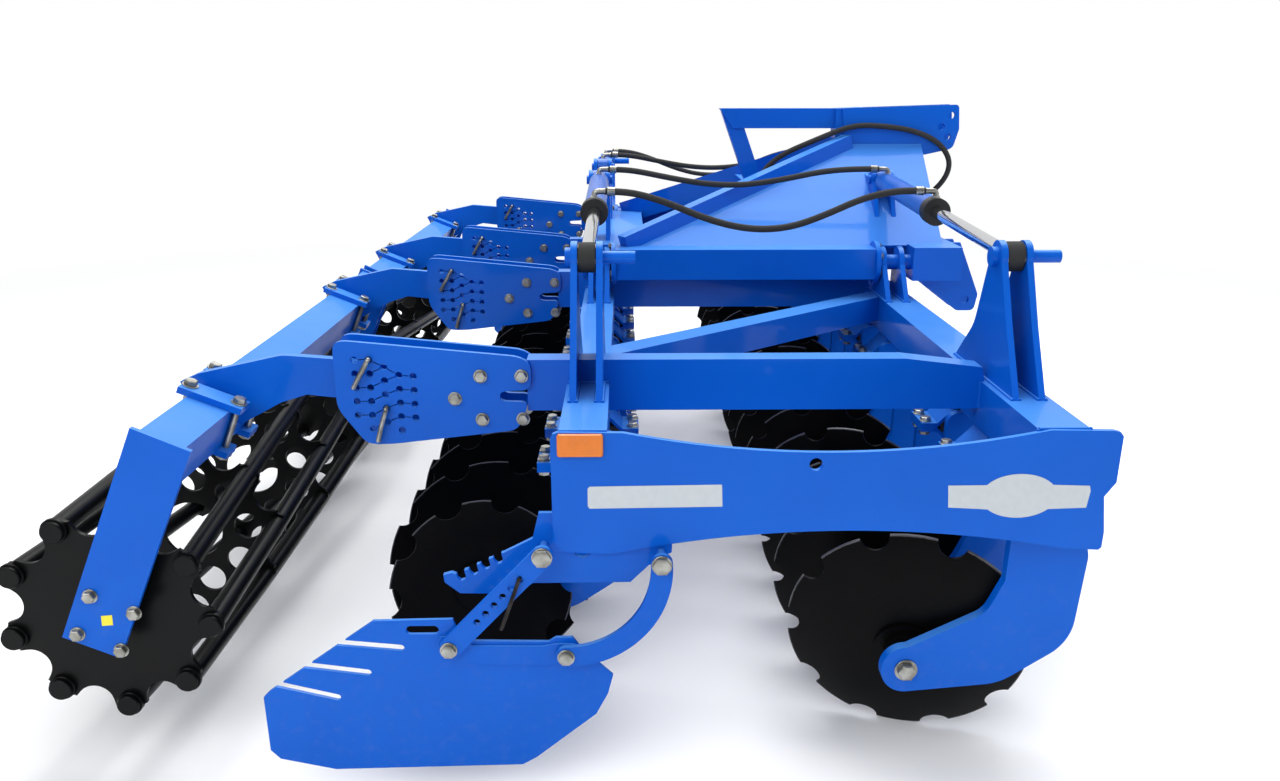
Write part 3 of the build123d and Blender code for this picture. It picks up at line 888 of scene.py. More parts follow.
@dataclass
class WingHardware:
    """Bolts, pins, beads, panel trim and roller collars of one wing; side is -1 on the right."""

    wing: str
    side: float
    lines: tuple[float, float] = (1.600, 0.400)
    plate_faces: float = 0.042
    plate_bolts: tuple[tuple[float, float], ...] = (
        (-0.267, 0.861), (-0.170, 0.861), (-0.329, 0.806), (-0.266, 0.754), (-0.169, 0.755))
    handles: tuple[tuple[float, float, float, float], ...] = (
        (-0.5265, 0.902, -0.564, 0.836), (-0.4925, 0.783, -0.515, 0.704))
    beam: tuple[float, float] = (-0.905, 0.768)
    beam_tilt: float = 22.0
    grip: tuple[float, float, float] = (0.058, 0.066, 0.075)
    hanger_bolts: tuple[tuple[float, float], ...] = (
        (-1.079, 0.464), (-0.990, 0.423), (-1.119, 0.373), (-1.030, 0.333))
    roller: tuple[float, float] = (-1.073, 0.389)
    bar_pitch: float = 0.2235
    bar_turn: tuple[float, float] = (113.8, 153.8)
    bars: int = 9
    clamp_x: tuple[tuple[str, float], ...] = (("front", 0.980), ("rear", -0.013))
    clamp_z: float = 0.650
    arm_offset: float = 0.110
    arm_thick: float = 0.025
    arm_middle: float = 0.1225
    flange_bolt_x: float = 0.1069
    flange_bolt_gone: tuple[float, float] = (0.021, 0.084)
    flange_half: float = 0.012
    panel_face: float = 2.000
    end_plate_face: float = 1.966
    inner_plate_face: float = 0.028
    print_sunk: float = 0.001
    print_proud: float = 0.0008
    bead_top: float = 0.8405
    bead_panel_y: float = 1.9875

    def build(self, places: list) -> None:
        """Make every small piece of the wing.

        Args:
            places: Row, centre, axis and rim radius of each disc of this wing.
        """
        self.plate_hardware()
        self.roller_hardware()
        self.arm_hardware(places)
        self.panel_trim()
        self.beads()

    def on(self, y: float) -> float:
        """Distance from the middle plane on this wing, as a Y."""
        return self.side * y

    def plate_hardware(self) -> None:
        """Bolts through the hole plates and the bent handle pins on their camera side."""
        bolts = Piece(f"{self.wing}_plate_bolts", Finish.ZINC, f"{self.wing}_wing")
        handles = Piece(f"{self.wing}_handle_pins", Finish.ZINC, f"{self.wing}_wing")
        for line in self.lines:
            middle = self.on(line)
            for look in (-1.0, 1.0):
                face = middle + look * self.plate_faces
                for x, z in self.plate_bolts:
                    bolts.bolt((x, face, z), (0, look, 0))
            face = middle - self.plate_faces
            for x, z, end_x, end_z in self.handles:
                bend = (x + 0.004, face - 0.016, z + 0.006)
                handles.tube([(x, middle + self.plate_faces + 0.010, z), (x, face - 0.004, z), bend,
                              (0.5 * (x + end_x), face - 0.017, 0.5 * (z + end_z)),
                              (end_x, face - 0.012, end_z)], 0.0062)
        bolts.finished()
        handles.finished()

    def roller_hardware(self) -> None:
        """Bolts of the roller's hangers and beam grips, and collars on its bar ends."""
        bolts = Piece(f"{self.wing}_roller_bolts", Finish.ZINC, f"{self.wing}_wing")
        for x, z in self.hanger_bolts:
            bolts.bolt((x, self.on(self.end_plate_face), z), (0, self.side, 0))
            bolts.bolt((x, self.on(self.inner_plate_face), z), (0, -self.side, 0))
        grips = Piece(f"{self.wing}_beam_grips", Finish.BLUE, f"{self.wing}_wing")
        tilt = math.radians(-self.beam_tilt)
        turn = np.array([[math.cos(tilt), math.sin(tilt)], [-math.sin(tilt), math.cos(tilt)]])
        across, rise, reach = self.grip
        under = np.array([(-0.075, -rise), (0.075, -rise),
                          (0.075, -0.050), (-0.075, -0.050)]) @ turn
        for line in self.lines:
            for along in (-reach, reach):
                y = self.on(line) + along
                grips.add(slab([tuple(spot) for spot in under + self.beam],
                               y - 0.030, y + 0.030, 0.002))
                for out in (-across, across):
                    ends = np.array([(out, rise), (out, -rise)]) @ turn + self.beam
                    up, low = ((x, y, z) for x, z in ends)
                    axis = tuple(np.array(up) - np.array(low))
                    bolts.add(turned([(0.0, 0.008), (math.dist(up, low), 0.008)], low, axis, 12))
                    bolts.bolt(up, axis, (0.0152, 0.012), (0.019, 0.003))
                    bolts.bolt(low, tuple(-value for value in axis),
                               (0.0152, 0.012), (0.019, 0.003))
        grips.finished()
        bolts.finished()
        collars = Piece(f"{self.wing}_bar_collars", Finish.ROLLER, f"{self.wing}_roller")
        for turn, plate, look in ((self.bar_turn[0], 1.910, 1.0), (self.bar_turn[1], 0.090, -1.0)):
            for bar in range(self.bars):
                angle = math.radians(turn + 360.0 / self.bars * bar)
                x = self.roller[0] + self.bar_pitch * math.cos(angle)
                z = self.roller[1] + self.bar_pitch * math.sin(angle)
                profile = [(0.0, 0.029), (0.008, 0.029), (0.0095, 0.0275), (0.0095, 0.0250),
                           (0.0175, 0.0250), (0.0190, 0.0235)]
                collars.add(turned(profile, (x, self.on(plate), z), (0, self.side * look, 0), 28))
        collars.finished()

    def arm_hardware(self, places: list) -> None:
        """Spindle nuts on the disc arms and bolts on the clamp housings' flanges.

        Args:
            places: Row, centre, axis and rim radius of each disc of this wing.
        """
        nuts = Piece(f"{self.wing}_spindle_nuts", Finish.ZINC, f"{self.wing}_wing")
        bolts = Piece(f"{self.wing}_clamp_bolts", Finish.ZINC, f"{self.wing}_wing")
        beams = dict(self.clamp_x)
        for row, centre, axis, _ in places:
            look = -1.0 if row == "front" else 1.0
            hub = np.array(centre) - self.arm_middle * np.array(axis)
            face = centre[1] - self.arm_offset * axis[1] + look * self.arm_thick
            nuts.bolt((hub[0], face, hub[2]), (0, look, 0), (0.0205, 0.014), (0.026, 0.004))
            start = centre[1] - self.arm_offset * axis[1] - look * 0.004
            for x in (-self.flange_bolt_x, self.flange_bolt_x):
                for gone in self.flange_bolt_gone:
                    for up in (-1.0, 1.0):
                        place = (beams[row] + x, start - look * gone,
                                 self.clamp_z + up * self.flange_half)
                        bolts.bolt(place, (0, 0, up), (0.0139, 0.010), (0.0155, 0.003))
        nuts.finished()
        bolts.finished()

    def panel_trim(self) -> None:
        """Blank stripes, amber reflector and a blank yellow patch on the wing's end."""
        out = self.on(self.panel_face)
        sunk, proud = self.side * self.print_sunk, self.side * self.print_proud
        left = [(0.000, 0.724), (0.274, 0.727), (0.276, 0.678), (0.000, 0.675), (-0.004, 0.680),
                (-0.004, 0.719)]
        stripes = Piece(f"{self.wing}_panel_stripes", Finish.FOIL, f"{self.wing}_wing")
        stripes.add(slab(left, out - sunk, out + proud, 0.0003))
        turn = np.linspace(0.0, np.pi, 25)[1:-1]
        high = np.stack([0.894 - 0.080 * np.cos(turn), 0.698 + 0.049 * np.sin(turn)], axis=1)
        deep = np.stack([0.894 + 0.080 * np.cos(turn), 0.698 - 0.049 * np.sin(turn)], axis=1)
        right = [(0.744, 0.722), *map(tuple, high[high[:, 1] > 0.722]),
                 (1.040, 0.720), (1.043, 0.708), (1.038, 0.671),
                 *map(tuple, deep[deep[:, 1] < 0.673]), (0.748, 0.673)]
        stripes.add(slab(right, out - sunk, out + proud, 0.0003))
        stripes.finished()
        lens = Piece(f"{self.wing}_reflector", Finish.AMBER, f"{self.wing}_wing")
        corners = [(-0.065, 0.836), (-0.062, 0.840), (0.026, 0.840), (0.029, 0.836), (0.029, 0.795),
                   (0.026, 0.791), (-0.062, 0.791), (-0.065, 0.795)]
        lens.add(slab(corners, out - sunk, out + self.side * 0.009, 0.003))
        lens.finished()
        patch = Piece(f"{self.wing}_yellow_patch", Finish.YELLOW, f"{self.wing}_wing")
        wall = self.on(self.end_plate_face)
        patch.add(slab([(-1.063, 0.416), (-1.039, 0.418), (-1.040, 0.394), (-1.064, 0.392)],
                       wall - sunk, wall + proud, 0.0003))
        patch.finished()

    def beads(self) -> None:
        """Weld beads where lugs, roller arms and beams are joined."""
        beads = Piece(f"{self.wing}_weld_beads", Finish.BLUE, f"{self.wing}_wing", 60.0)
        top, wall = self.bead_top, self.on(self.bead_panel_y)
        for x in (-0.050, -0.035, 0.009, 0.024, 0.943, 0.958, 1.002, 1.017):
            beads.weld((x, self.on(1.790), top), (x, self.on(1.370), top))
        for middle in (-0.037, 0.016, 0.934, 0.993):
            for face in (-0.008, 0.008):
                x = middle + face
                beads.weld((x, self.on(0.700), top), (x, self.on(0.500), top))
        for middle, half, low in ((-0.013, 0.050, 0.740), (0.980, 0.055, 0.730)):
            for x in (middle - half, middle + half):
                beads.weld((x, wall, low), (x, wall, 0.840))
            for z in (low, 0.840):
                beads.weld((middle - half, wall, z), (middle + half, wall, z))
        for line in self.lines:
            for out in (-0.030, 0.030):
                y = self.on(line) + out
                beads.weld((-0.063, y, top), (0.037, y, top))
                beads.weld((0.925, y, 0.775), (0.925, y, 0.838))
        beads.finished()


@dataclass
class DeflectorHardware:
    """Pivot bolts of one deflector and the loose pin in its link."""

    wing: str
    side: float
    face: float = 2.050
    uppers: tuple[tuple[float, float], ...] = ((-0.098, 0.588), (0.149, 0.569))
    lowers: tuple[tuple[float, float, str], ...] = (
        (-0.300, 0.375, "rear_link"), (-0.053, 0.356, "front_link"))
    pin: tuple[Point, ...] = (
        (-0.145, 2.032, 0.539), (-0.145, 2.052, 0.540), (-0.145, 2.0570, 0.545),
        (-0.165, 2.0572, 0.487), (-0.187, 2.0570, 0.427))

    def build(self) -> None:
        """Make the bolts and the pin."""
        upper = Piece(f"{self.wing}_pivot_bolts", Finish.ZINC, f"{self.wing}_wing")
        for x, z in self.uppers:
            upper.bolt((x, self.side * (self.face + 0.0005), z), (0, self.side, 0),
                       (0.0199, 0.0090), (0.0215, 0.0030))
        upper.finished()
        for x, z, link in self.lowers:
            lower = Piece(f"{self.wing}_{link}_bolt", Finish.ZINC, f"{self.wing}_deflector_{link}")
            lower.bolt((x, self.side * self.face, z), (0, self.side, 0),
                       (0.0155, 0.0088), (0.0185, 0.003))
            lower.finished()
        pin = Piece(f"{self.wing}_link_pin", Finish.DARK_STEEL, f"{self.wing}_deflector_rear_link")
        pin.tube([(x, self.side * y, z) for x, y, z in self.pin], 0.0042)
        pin.finished()


@dataclass
class HolePlates:
    """Pairs of plates with pin holes that hold the roller arms of one wing."""

    wing: str
    side: float
    lines: tuple[float, float] = (1.600, 0.400)
    faces: tuple[float, float] = (0.030, 0.042)
    hole: float = 0.0085
    pitch: float = 0.034
    slit: float = 0.0015
    outline: tuple[Spot, ...] = (
        (-0.609, 0.938), (-0.590, 0.948), (-0.177, 0.908), (-0.147, 0.891), (-0.149, 0.826),
        (-0.222, 0.824), (-0.223, 0.798), (-0.153, 0.797), (-0.182, 0.727), (-0.484, 0.693),
        (-0.544, 0.693), (-0.609, 0.784))
    columns: tuple[tuple[float, float, int], ...] = (
        (-0.5605, 0.902, 5), (-0.5265, 0.902, 6), (-0.4925, 0.885, 5), (-0.4585, 0.864, 5),
        (-0.4245, 0.861, 4))
    joins: tuple[tuple[int, int, float], ...] = (
        (0, 1, 0.0), (1, 2, 0.017), (2, 3, 0.0), (3, 4, 0.0))

    def build(self) -> None:
        """Make both pairs and put them in place of the plain plates."""
        spots = [[(x, z - self.pitch * k) for k in range(count)] for x, z, count in self.columns]
        holes = [ring_of(x, z, self.hole) for column in spots for x, z in column]
        holes += self.slits(spots)
        outer = softened(list(self.outline), 0.022)
        piece = Piece(f"{self.wing}_hole_plates", Finish.BLUE, f"{self.wing}_wing")
        for line in self.lines:
            for look in (-1.0, 1.0):
                near, far = (self.side * line + look * reach for reach in self.faces)
                piece.add_plate(outer, holes, near, far)
        piece.finished(f"{self.wing}_adjusting_plates")

    def slits(self, spots: list) -> list:
        """Thin slits between neighbouring holes, which stop just short of both.

        Args:
            spots: Middles of the holes, column by column.

        Returns:
            Outlines of the slits.
        """
        found = []
        short = self.hole + 0.0006 + self.slit
        for first, second, lift in self.joins:
            far = np.array(spots[second])
            for x, z in spots[first]:
                end = far[np.argmin(np.abs(far[:, 1] - z - lift))]
                way = end - np.array((x, z))
                length = float(np.linalg.norm(way))
                if length < 0.045:
                    step = way / length * short
                    found.append(slot_between((x + step[0], z + step[1]), tuple(end - step),
                                              self.slit, 4))
        return found


@dataclass
class StarRoller:
    """Bar roller of one wing: star-shaped plates, twisted bars and the axle's stubs."""

    wing: str
    side: float
    axle: Spot = (-1.073, 0.389)
    pitch: float = 0.2235
    bar: float = 0.02415
    bars: int = 9
    start: float = 113.8
    twist: float = 10.0
    plates: tuple[float, ...] = (1.905, 1.450, 1.000, 0.550, 0.095)
    half: float = 0.005
    tail: float = 0.022
    rim: float = 0.008
    notch: float = 0.042
    lobe: float = 0.029
    petal: tuple[float, float] = (0.146, 0.036)
    eye: float = 0.078
    stub: float = 0.035
    hangers: Spot = (1.9537, 0.0403)

    def build(self) -> None:
        """Make the roller and put it in place of the plain one."""
        piece = Piece(f"{self.wing}_star_roller", Finish.ROLLER, f"{self.wing}_roller", 30.0)
        last = len(self.plates) - 1
        for station, plate in enumerate(self.plates):
            turn = math.radians(self.start + self.twist * station)
            holes = self.holes(turn) if 0 < station < last else []
            middle = self.side * plate
            piece.add_plate(self.outline(turn), holes, middle - self.half, middle + self.half)
        for number in range(self.bars):
            ends = [self.spot(number, station) for station in range(last + 1)]
            first = (ends[0][0], self.side * (self.plates[0] + self.tail), ends[0][2])
            final = (ends[-1][0], self.side * (self.plates[-1] - self.tail), ends[-1][2])
            piece.add(carried(np.array([first, *ends, final]), self.bar, 20))
        for inner, outer in ((self.plates[0], self.hangers[0]), (self.plates[-1], self.hangers[1])):
            place = (self.axle[0], self.side * inner, self.axle[1])
            away = self.side * math.copysign(1.0, outer - inner)
            piece.add(turned([(0.0, self.stub), (abs(outer - inner), self.stub)],
                             place, (0, away, 0), 28))
        piece.finished(f"{self.wing}_roller")

    def spot(self, number: int, station: int) -> Point:
        """Middle of a bar at one plate.

        Args:
            number: Number of the bar.
            station: Number of the plate.

        Returns:
            The point.
        """
        angle = math.radians(self.start + 360.0 / self.bars * number + self.twist * station)
        return (self.axle[0] + self.pitch * math.cos(angle), self.side * self.plates[station],
                self.axle[1] + self.pitch * math.sin(angle))

    def outline(self, turn: float) -> np.ndarray:
        """Star outline: the radius falls from the rim into a half-round notch between each two
        bars, and swells to a lobe round each bar.

        Args:
            turn: Angle of the plate.

        Returns:
            Outline as (count, 2).
        """
        rim = self.pitch + self.rim
        angle = np.linspace(0.0, 2 * np.pi, 36 * self.bars, endpoint=False)
        off = (angle * self.bars / (2 * np.pi) + 0.5) % 1.0 - 0.5
        from_bar = off * 2 * np.pi / self.bars
        from_notch = (np.abs(off) - 0.5) * 2 * np.pi / self.bars
        side = np.clip(self.notch ** 2 - (rim * np.sin(from_notch)) ** 2, 0.0, None)
        radius = np.where(side > 0.0, rim * np.cos(from_notch) - np.sqrt(side), rim)
        swell = np.clip(self.lobe ** 2 - (self.pitch * np.sin(from_bar)) ** 2, 0.0, None)
        lobe = np.where(swell > 0.0, self.pitch * np.cos(from_bar) + np.sqrt(swell), 0.0)
        radius = np.minimum(np.maximum(radius, lobe), rim + 0.012)
        turned_by = angle + turn
        return np.stack([self.axle[0] + radius * np.cos(turned_by),
                         self.axle[1] + radius * np.sin(turned_by)], axis=1)

    def holes(self, turn: float) -> list:
        """Middle hole and a ring of round holes of an inner plate.

        Args:
            turn: Angle of the plate.

        Returns:
            Outlines of the holes.
        """
        found = [ring_of(self.axle[0], self.axle[1], self.eye, 40)]
        reach, radius = self.petal
        for k in range(self.bars):
            angle = turn + 2 * math.pi * k / self.bars
            found.append(ring_of(self.axle[0] + reach * math.cos(angle),
                                 self.axle[1] + reach * math.sin(angle), radius, 24))
        return found


@dataclass
class DeflectorPlates:
    """Rear link with its row of holes and the blade with its open slots, of one wing."""

    wing: str
    side: float
    top: Spot = (-0.098, 0.588)
    low: Spot = (-0.300, 0.375)
    front_low: Spot = (-0.053, 0.356)
    link_faces: Spot = (2.038, 2.050)
    link_half: float = 0.023
    hole: float = 0.0075
    holes_from: float = 0.068
    hole_pitch: float = 0.027
    hole_count: int = 6
    blade_faces: Spot = (2.022, 2.030)
    stiffener: float = 2.036
    slot: float = 0.0075
    pivot_hole: float = 0.0103
    rear_edge: tuple[Spot, Spot] = ((-0.460, 0.434), (-0.695, 0.266))
    slots: tuple[tuple[Spot, Spot], ...] = (
        ((-0.560, 0.386), (-0.405, 0.370)), ((-0.636, 0.334), (-0.479, 0.311)),
        ((-0.704, 0.292), (-0.549, 0.251)))
    rest: tuple[Spot, ...] = (
        (-0.708, 0.252), (-0.706, 0.120), (-0.686, 0.098), (-0.567, 0.070), (-0.155, 0.078),
        (-0.124, 0.096), (0.009, 0.205), (0.035, 0.256), (0.046, 0.300), (-0.018, 0.362),
        (-0.040, 0.392), (-0.075, 0.392), (-0.090, 0.382), (-0.258, 0.385), (-0.285, 0.414),
        (-0.292, 0.437))

    def build(self) -> None:
        """Make the link and the blade and put them in place of the plain ones."""
        link = Piece(f"{self.wing}_holed_link", Finish.BLUE, f"{self.wing}_deflector_rear_link")
        step = np.array(self.low) - np.array(self.top)
        step /= np.linalg.norm(step)
        spots = [np.array(self.top) + step * (self.holes_from + self.hole_pitch * k)
                 for k in range(self.hole_count)]
        holes = [ring_of(x, z, self.hole, 16) for x, z in spots]
        holes.append(ring_of(*self.top, self.pivot_hole, 24))
        near, far = (self.side * y for y in self.link_faces)
        link.add_plate(slot_between(self.top, self.low, self.link_half, 14), holes, near, far)
        place = (self.low[0], self.side * 2.012, self.low[1])
        link.add(turned([(0.0, 0.010), (0.042, 0.010)], place, (0, self.side, 0), 20))
        link.finished(f"{self.wing}_deflector_rear_link")
        self.blade()

    def blade(self) -> None:
        """Blade with slots open at its rear edge, a long hole and a stiffener at its pivots."""
        piece = Piece(f"{self.wing}_slotted_blade", Finish.BLUE, f"{self.wing}_deflector_blade")
        outline = [self.rear_edge[0]]
        for tip, end in self.slots:
            outline += self.detour(np.array(tip), np.array(end))
        outline += [self.rear_edge[1], *self.rest]
        long_hole = slot_between((-0.382, 0.412), (-0.332, 0.412), 0.010)
        pivots = [ring_of(x, z, self.pivot_hole, 24) for x, z in (self.low, self.front_low)]
        near, far = (self.side * y for y in self.blade_faces)
        piece.add_plate(np.array(outline), [long_hole, *pivots], near, far)
        rib = [(-0.326, 0.398), (-0.282, 0.400), (-0.256, 0.376), (-0.101, 0.374), (-0.075, 0.380),
               (-0.030, 0.378), (-0.026, 0.340), (-0.080, 0.328), (-0.274, 0.333), (-0.322, 0.350)]
        piece.add_plate(softened(rib, 0.010), pivots, far, self.side * self.stiffener)
        piece.finished(f"{self.wing}_deflector_blade")

    def detour(self, tip: np.ndarray, end: np.ndarray) -> list:
        """Way round one slot from the rear edge: in along its upper side, round its closed end
        and out along its lower side.

        Args:
            tip: A point of the slot's middle line outside the edge.
            end: Middle of its closed end.

        Returns:
            Points of the way round it.
        """
        first, last = (np.array(spot) for spot in self.rear_edge)
        edge = last - first
        way = (end - tip) / np.linalg.norm(end - tip)
        across = np.array((-way[1], way[0])) * self.slot
        crossings = []
        for off in (across, -across):
            gap = tip + off - first
            share = (gap[0] * way[1] - gap[1] * way[0]) / (edge[0] * way[1] - edge[1] * way[0])
            crossings.append(first + share * edge)
        lean = math.atan2(way[1], way[0])
        angle = lean + np.linspace(np.pi / 2, -np.pi / 2, 9)
        closed = np.stack([end[0] + self.slot * np.cos(angle), end[1] + self.slot * np.sin(angle)],
                          axis=1)
        return [tuple(crossings[0]), *map(tuple, closed), tuple(crossings[1])]


@dataclass
class PanelWithRack:
    """Side panel and the rack plate behind it, with the teeth for the loose pin."""

    wing: str
    side: float
    faces: Spot = (2.000, 1.988)
    rack_faces: Spot = (1.988, 1.976)
    hole: tuple[float, float, float] = (0.467, 0.770, 0.014)
    pivots: tuple[Spot, Spot] = ((-0.098, 0.588), (0.149, 0.569))
    teeth: tuple[Spot, ...] = ((-0.275, 0.514), (-0.248, 0.527), (-0.222, 0.540), (-0.195, 0.553))
    tooth: float = 0.009

    def build(self) -> None:
        """Make panel, rack and pivots and put them in place of the plain panel."""
        piece = Piece(f"{self.wing}_panel_and_rack", Finish.BLUE, f"{self.wing}_wing")
        outer, inner = (self.side * y for y in self.faces)
        piece.add_plate(self.panel(), [ring_of(*self.hole, 24)], outer, inner)
        back, front = (self.side * y for y in self.rack_faces)
        piece.add_plate(self.rack(), [ring_of(-0.017, 0.577, 0.020, 24)], back, front)
        for x, z in self.pivots:
            piece.add(turned([(0.0, 0.010), (0.068, 0.010)],
                             (x, self.side * self.faces[1], z), (0, self.side, 0), 20))
        piece.finished(f"{self.wing}_side_panel")

    @staticmethod
    def arch(first: Spot, middle: Spot, last: Spot, count: int = 24) -> np.ndarray:
        """Arc through three points, as a parabola in the chord's share: the arc is so flat that
        the two differ by less than a millimetre.

        Args:
            first: Start of the arc.
            middle: A point on it.
            last: End of the arc.
            count: Number of points.

        Returns:
            Points as (count, 2).
        """
        share = np.linspace(0.0, 1.0, count)
        at = (middle[0] - first[0]) / (last[0] - first[0])
        chord = first[1] + at * (last[1] - first[1])
        rise = (middle[1] - chord) / (at * (1 - at))
        x = first[0] + share * (last[0] - first[0])
        z = first[1] + share * (last[1] - first[1]) + rise * share * (1 - share)
        return np.stack([x, z], axis=1)

    def panel(self) -> np.ndarray:
        """Outline of the panel with its arched top and lower edges.

        Returns:
            Outline as (count, 2).
        """
        top = self.arch((0.070, 0.840), (0.470, 0.796), (0.947, 0.842))
        low = self.arch((0.998, 0.578), (0.484, 0.621), (0.043, 0.571))
        front = [(1.078, 0.840), (1.090, 0.837), (1.097, 0.828), (1.095, 0.727), (1.073, 0.695),
                 (1.083, 0.614), (1.082, 0.580), (1.076, 0.574)]
        rear = [(-0.050, 0.576), (-0.063, 0.580), (-0.078, 0.600), (-0.079, 0.828), (-0.074, 0.838),
                (-0.064, 0.842)]
        return np.vstack([top, front, low, rear])

    def rack(self) -> np.ndarray:
        """Outline of the rack: a web between the pivots and an arm whose upper edge dips into a
        hook-shaped gap at each tooth.

        Returns:
            Outline as (count, 2).
        """
        outline = [(-0.122, 0.602), (-0.108, 0.660), (0.175, 0.660), (0.172, 0.569), (0.122, 0.538),
                   (0.084, 0.500), (-0.124, 0.499), (-0.160, 0.474), (-0.280, 0.476),
                   (-0.312, 0.502), (-0.314, 0.519), (-0.296, 0.524)]
        for x, z in self.teeth:
            outline += [(x - 0.012, z + 0.006), (x - 0.009, z - 0.003), (x - 0.002, z - 0.009),
                        (x + 0.006, z - 0.006), (x + 0.009, z + 0.002), (x + 0.007, z + 0.010),
                        (x + 0.006, z + 0.016), (x + 0.011, z + 0.017)]
        return np.array(outline)


@dataclass
class HingeHardware:
    """Bolt rings on the flanges of the wing hinges."""

    rings: tuple[tuple[float, float], ...] = ((0.030, -1.0), (0.920, 1.0))
    height: float = 0.950
    across: float = 0.560
    pitch: float = 0.055
    bolts: int = 6

    def build(self) -> None:
        """Make the rings of bolts on both hinges."""
        piece = Piece("hinge_bolts", Finish.ZINC, "root")
        for side in (-1.0, 1.0):
            for face, look in self.rings:
                for k in range(self.bolts):
                    angle = 2 * math.pi * (k + 0.5) / self.bolts
                    place = (face, side * self.across + self.pitch * math.cos(angle),
                             self.height + self.pitch * math.sin(angle))
                    piece.bolt(place, (look, 0, 0), (0.0105, 0.008), (0.0125, 0.002))
        piece.finished()


@dataclass
class Hose:
    """Rubber hose on a smooth line through corner points, with crimped ferrules at its ends."""

    name: str
    body: str
    corners: tuple[Point, ...]
    radius: float = 0.010
    node: str = ""
    fitted: bool = True

    def build(self) -> None:
        line = rounded(list(self.corners), 3)
        gone = np.r_[0.0, np.cumsum(np.linalg.norm(np.diff(line, axis=0), axis=1))]
        places = np.linspace(0.0, gone[-1], max(8, int(gone[-1] / 0.035)))
        path = np.stack([np.interp(places, gone, line[:, k]) for k in range(3)], axis=1)
        curve = bpy.data.curves.new(self.name, "CURVE")
        curve.dimensions = "3D"
        curve.bevel_depth = self.radius
        curve.bevel_resolution = 4
        curve.use_fill_caps = True
        spline = curve.splines.new("NURBS")
        spline.points.add(len(path) - 1)
        spline.points.foreach_set("co", np.c_[path, np.ones(len(path))].ravel())
        spline.order_u = 3
        spline.use_endpoint_u = True
        spline.resolution_u = 6
        curve.materials.append(Finish.RUBBER.material())
        hose = bpy.data.objects.new(self.name, curve)
        bpy.context.collection.objects.link(hose)
        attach(hose, self.body)
        2 * self.radius
        if self.node:
            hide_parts(self.node)
        if self.fitted:
            self.ferrules(path)

    def ferrules(self, path: np.ndarray) -> None:
        """Crimped sleeves with a nut at both ends of the hose.

        Args:
            path: Points of the hose's middle line.
        """
        piece = Piece(f"{self.name}_ferrules", Finish.ZINC, self.body)
        wide = self.radius + 0.0030
        profile = [(-0.004, 0.0095), (0.006, 0.0095), (0.0065, wide), (0.012, wide),
                   (0.0125, wide - 0.001),
                   (0.014, wide - 0.001), (0.0145, wide), (0.020, wide), (0.0205, wide - 0.001),
                   (0.022, wide - 0.001), (0.0225, wide), (0.028, wide), (0.029, self.radius)]
        for end, inward in ((path[0], path[1] - path[0]), (path[-1], path[-2] - path[-1])):
            piece.add(turned(profile, tuple(end), tuple(inward), 20))
        piece.finished()


def disc_places() -> list:
    """Wing, row, number, centre, axis and rim radius of every disc.

    Returns:
        One tuple a disc.
    """
    yaw, tilt = math.radians(DISC_YAW), math.radians(DISC_TILT)
    rim_z = DISC_RADIUS * math.cos(tilt) + DISC_THICK * math.sin(tilt)
    places = []
    for row, side, x in DISC_ROWS:
        axis = (math.sin(yaw) * math.cos(tilt), -side * math.cos(yaw) * math.cos(tilt),
                math.sin(tilt))
        for step in range(DISCS_A_ROW):
            y = side * (DISC_FIRST_Y - DISC_PITCH * step)
            small = step == DISCS_A_ROW - 1
            centre = (x, y, rim_z + (SMALL_DISC_LIFT if small else 0.0))
            wing, number = (("right" if y < 0 else "left"), step % DISCS_A_WING + 1)
            places.append((wing, row, number, centre, axis,
                           SMALL_DISC_RADIUS if small else DISC_RADIUS))
    return places


@dataclass
class PaintShop:
    """Gives each construction node its finish by the words in its name."""

    frame: dict
    rules: tuple[tuple[str, Finish], ...] = (
        ("_roller_frame", Finish.BLUE), ("_roller", Finish.ROLLER), ("_dampers", Finish.RUBBER),
        ("_lift_rods", Finish.CHROME), ("_lift_barrels", Finish.BARREL))

    def dress(self, places: list) -> None:
        """Give every node its material.

        Args:
            places: Wing, row, number, centre, axis and radius of every disc.
        """
        for name, node in self.frame["nodes"].items():
            finish = next((finish for word, finish in self.rules if word in name), Finish.BLUE)
            for place in node.material_slots:
                place.material = finish.material()
            LOG.info("node %s: %s", name, finish.name)
        for wing, row, number, centre, axis, radius in places:
            node = self.frame["nodes"][f"{wing}_{row}_disc_{number}"]
            enamel = DiscEnamel(f"enamel_{wing}_{row}_{number}", centre, axis, radius).make()
            for place in node.material_slots:
                place.material = enamel


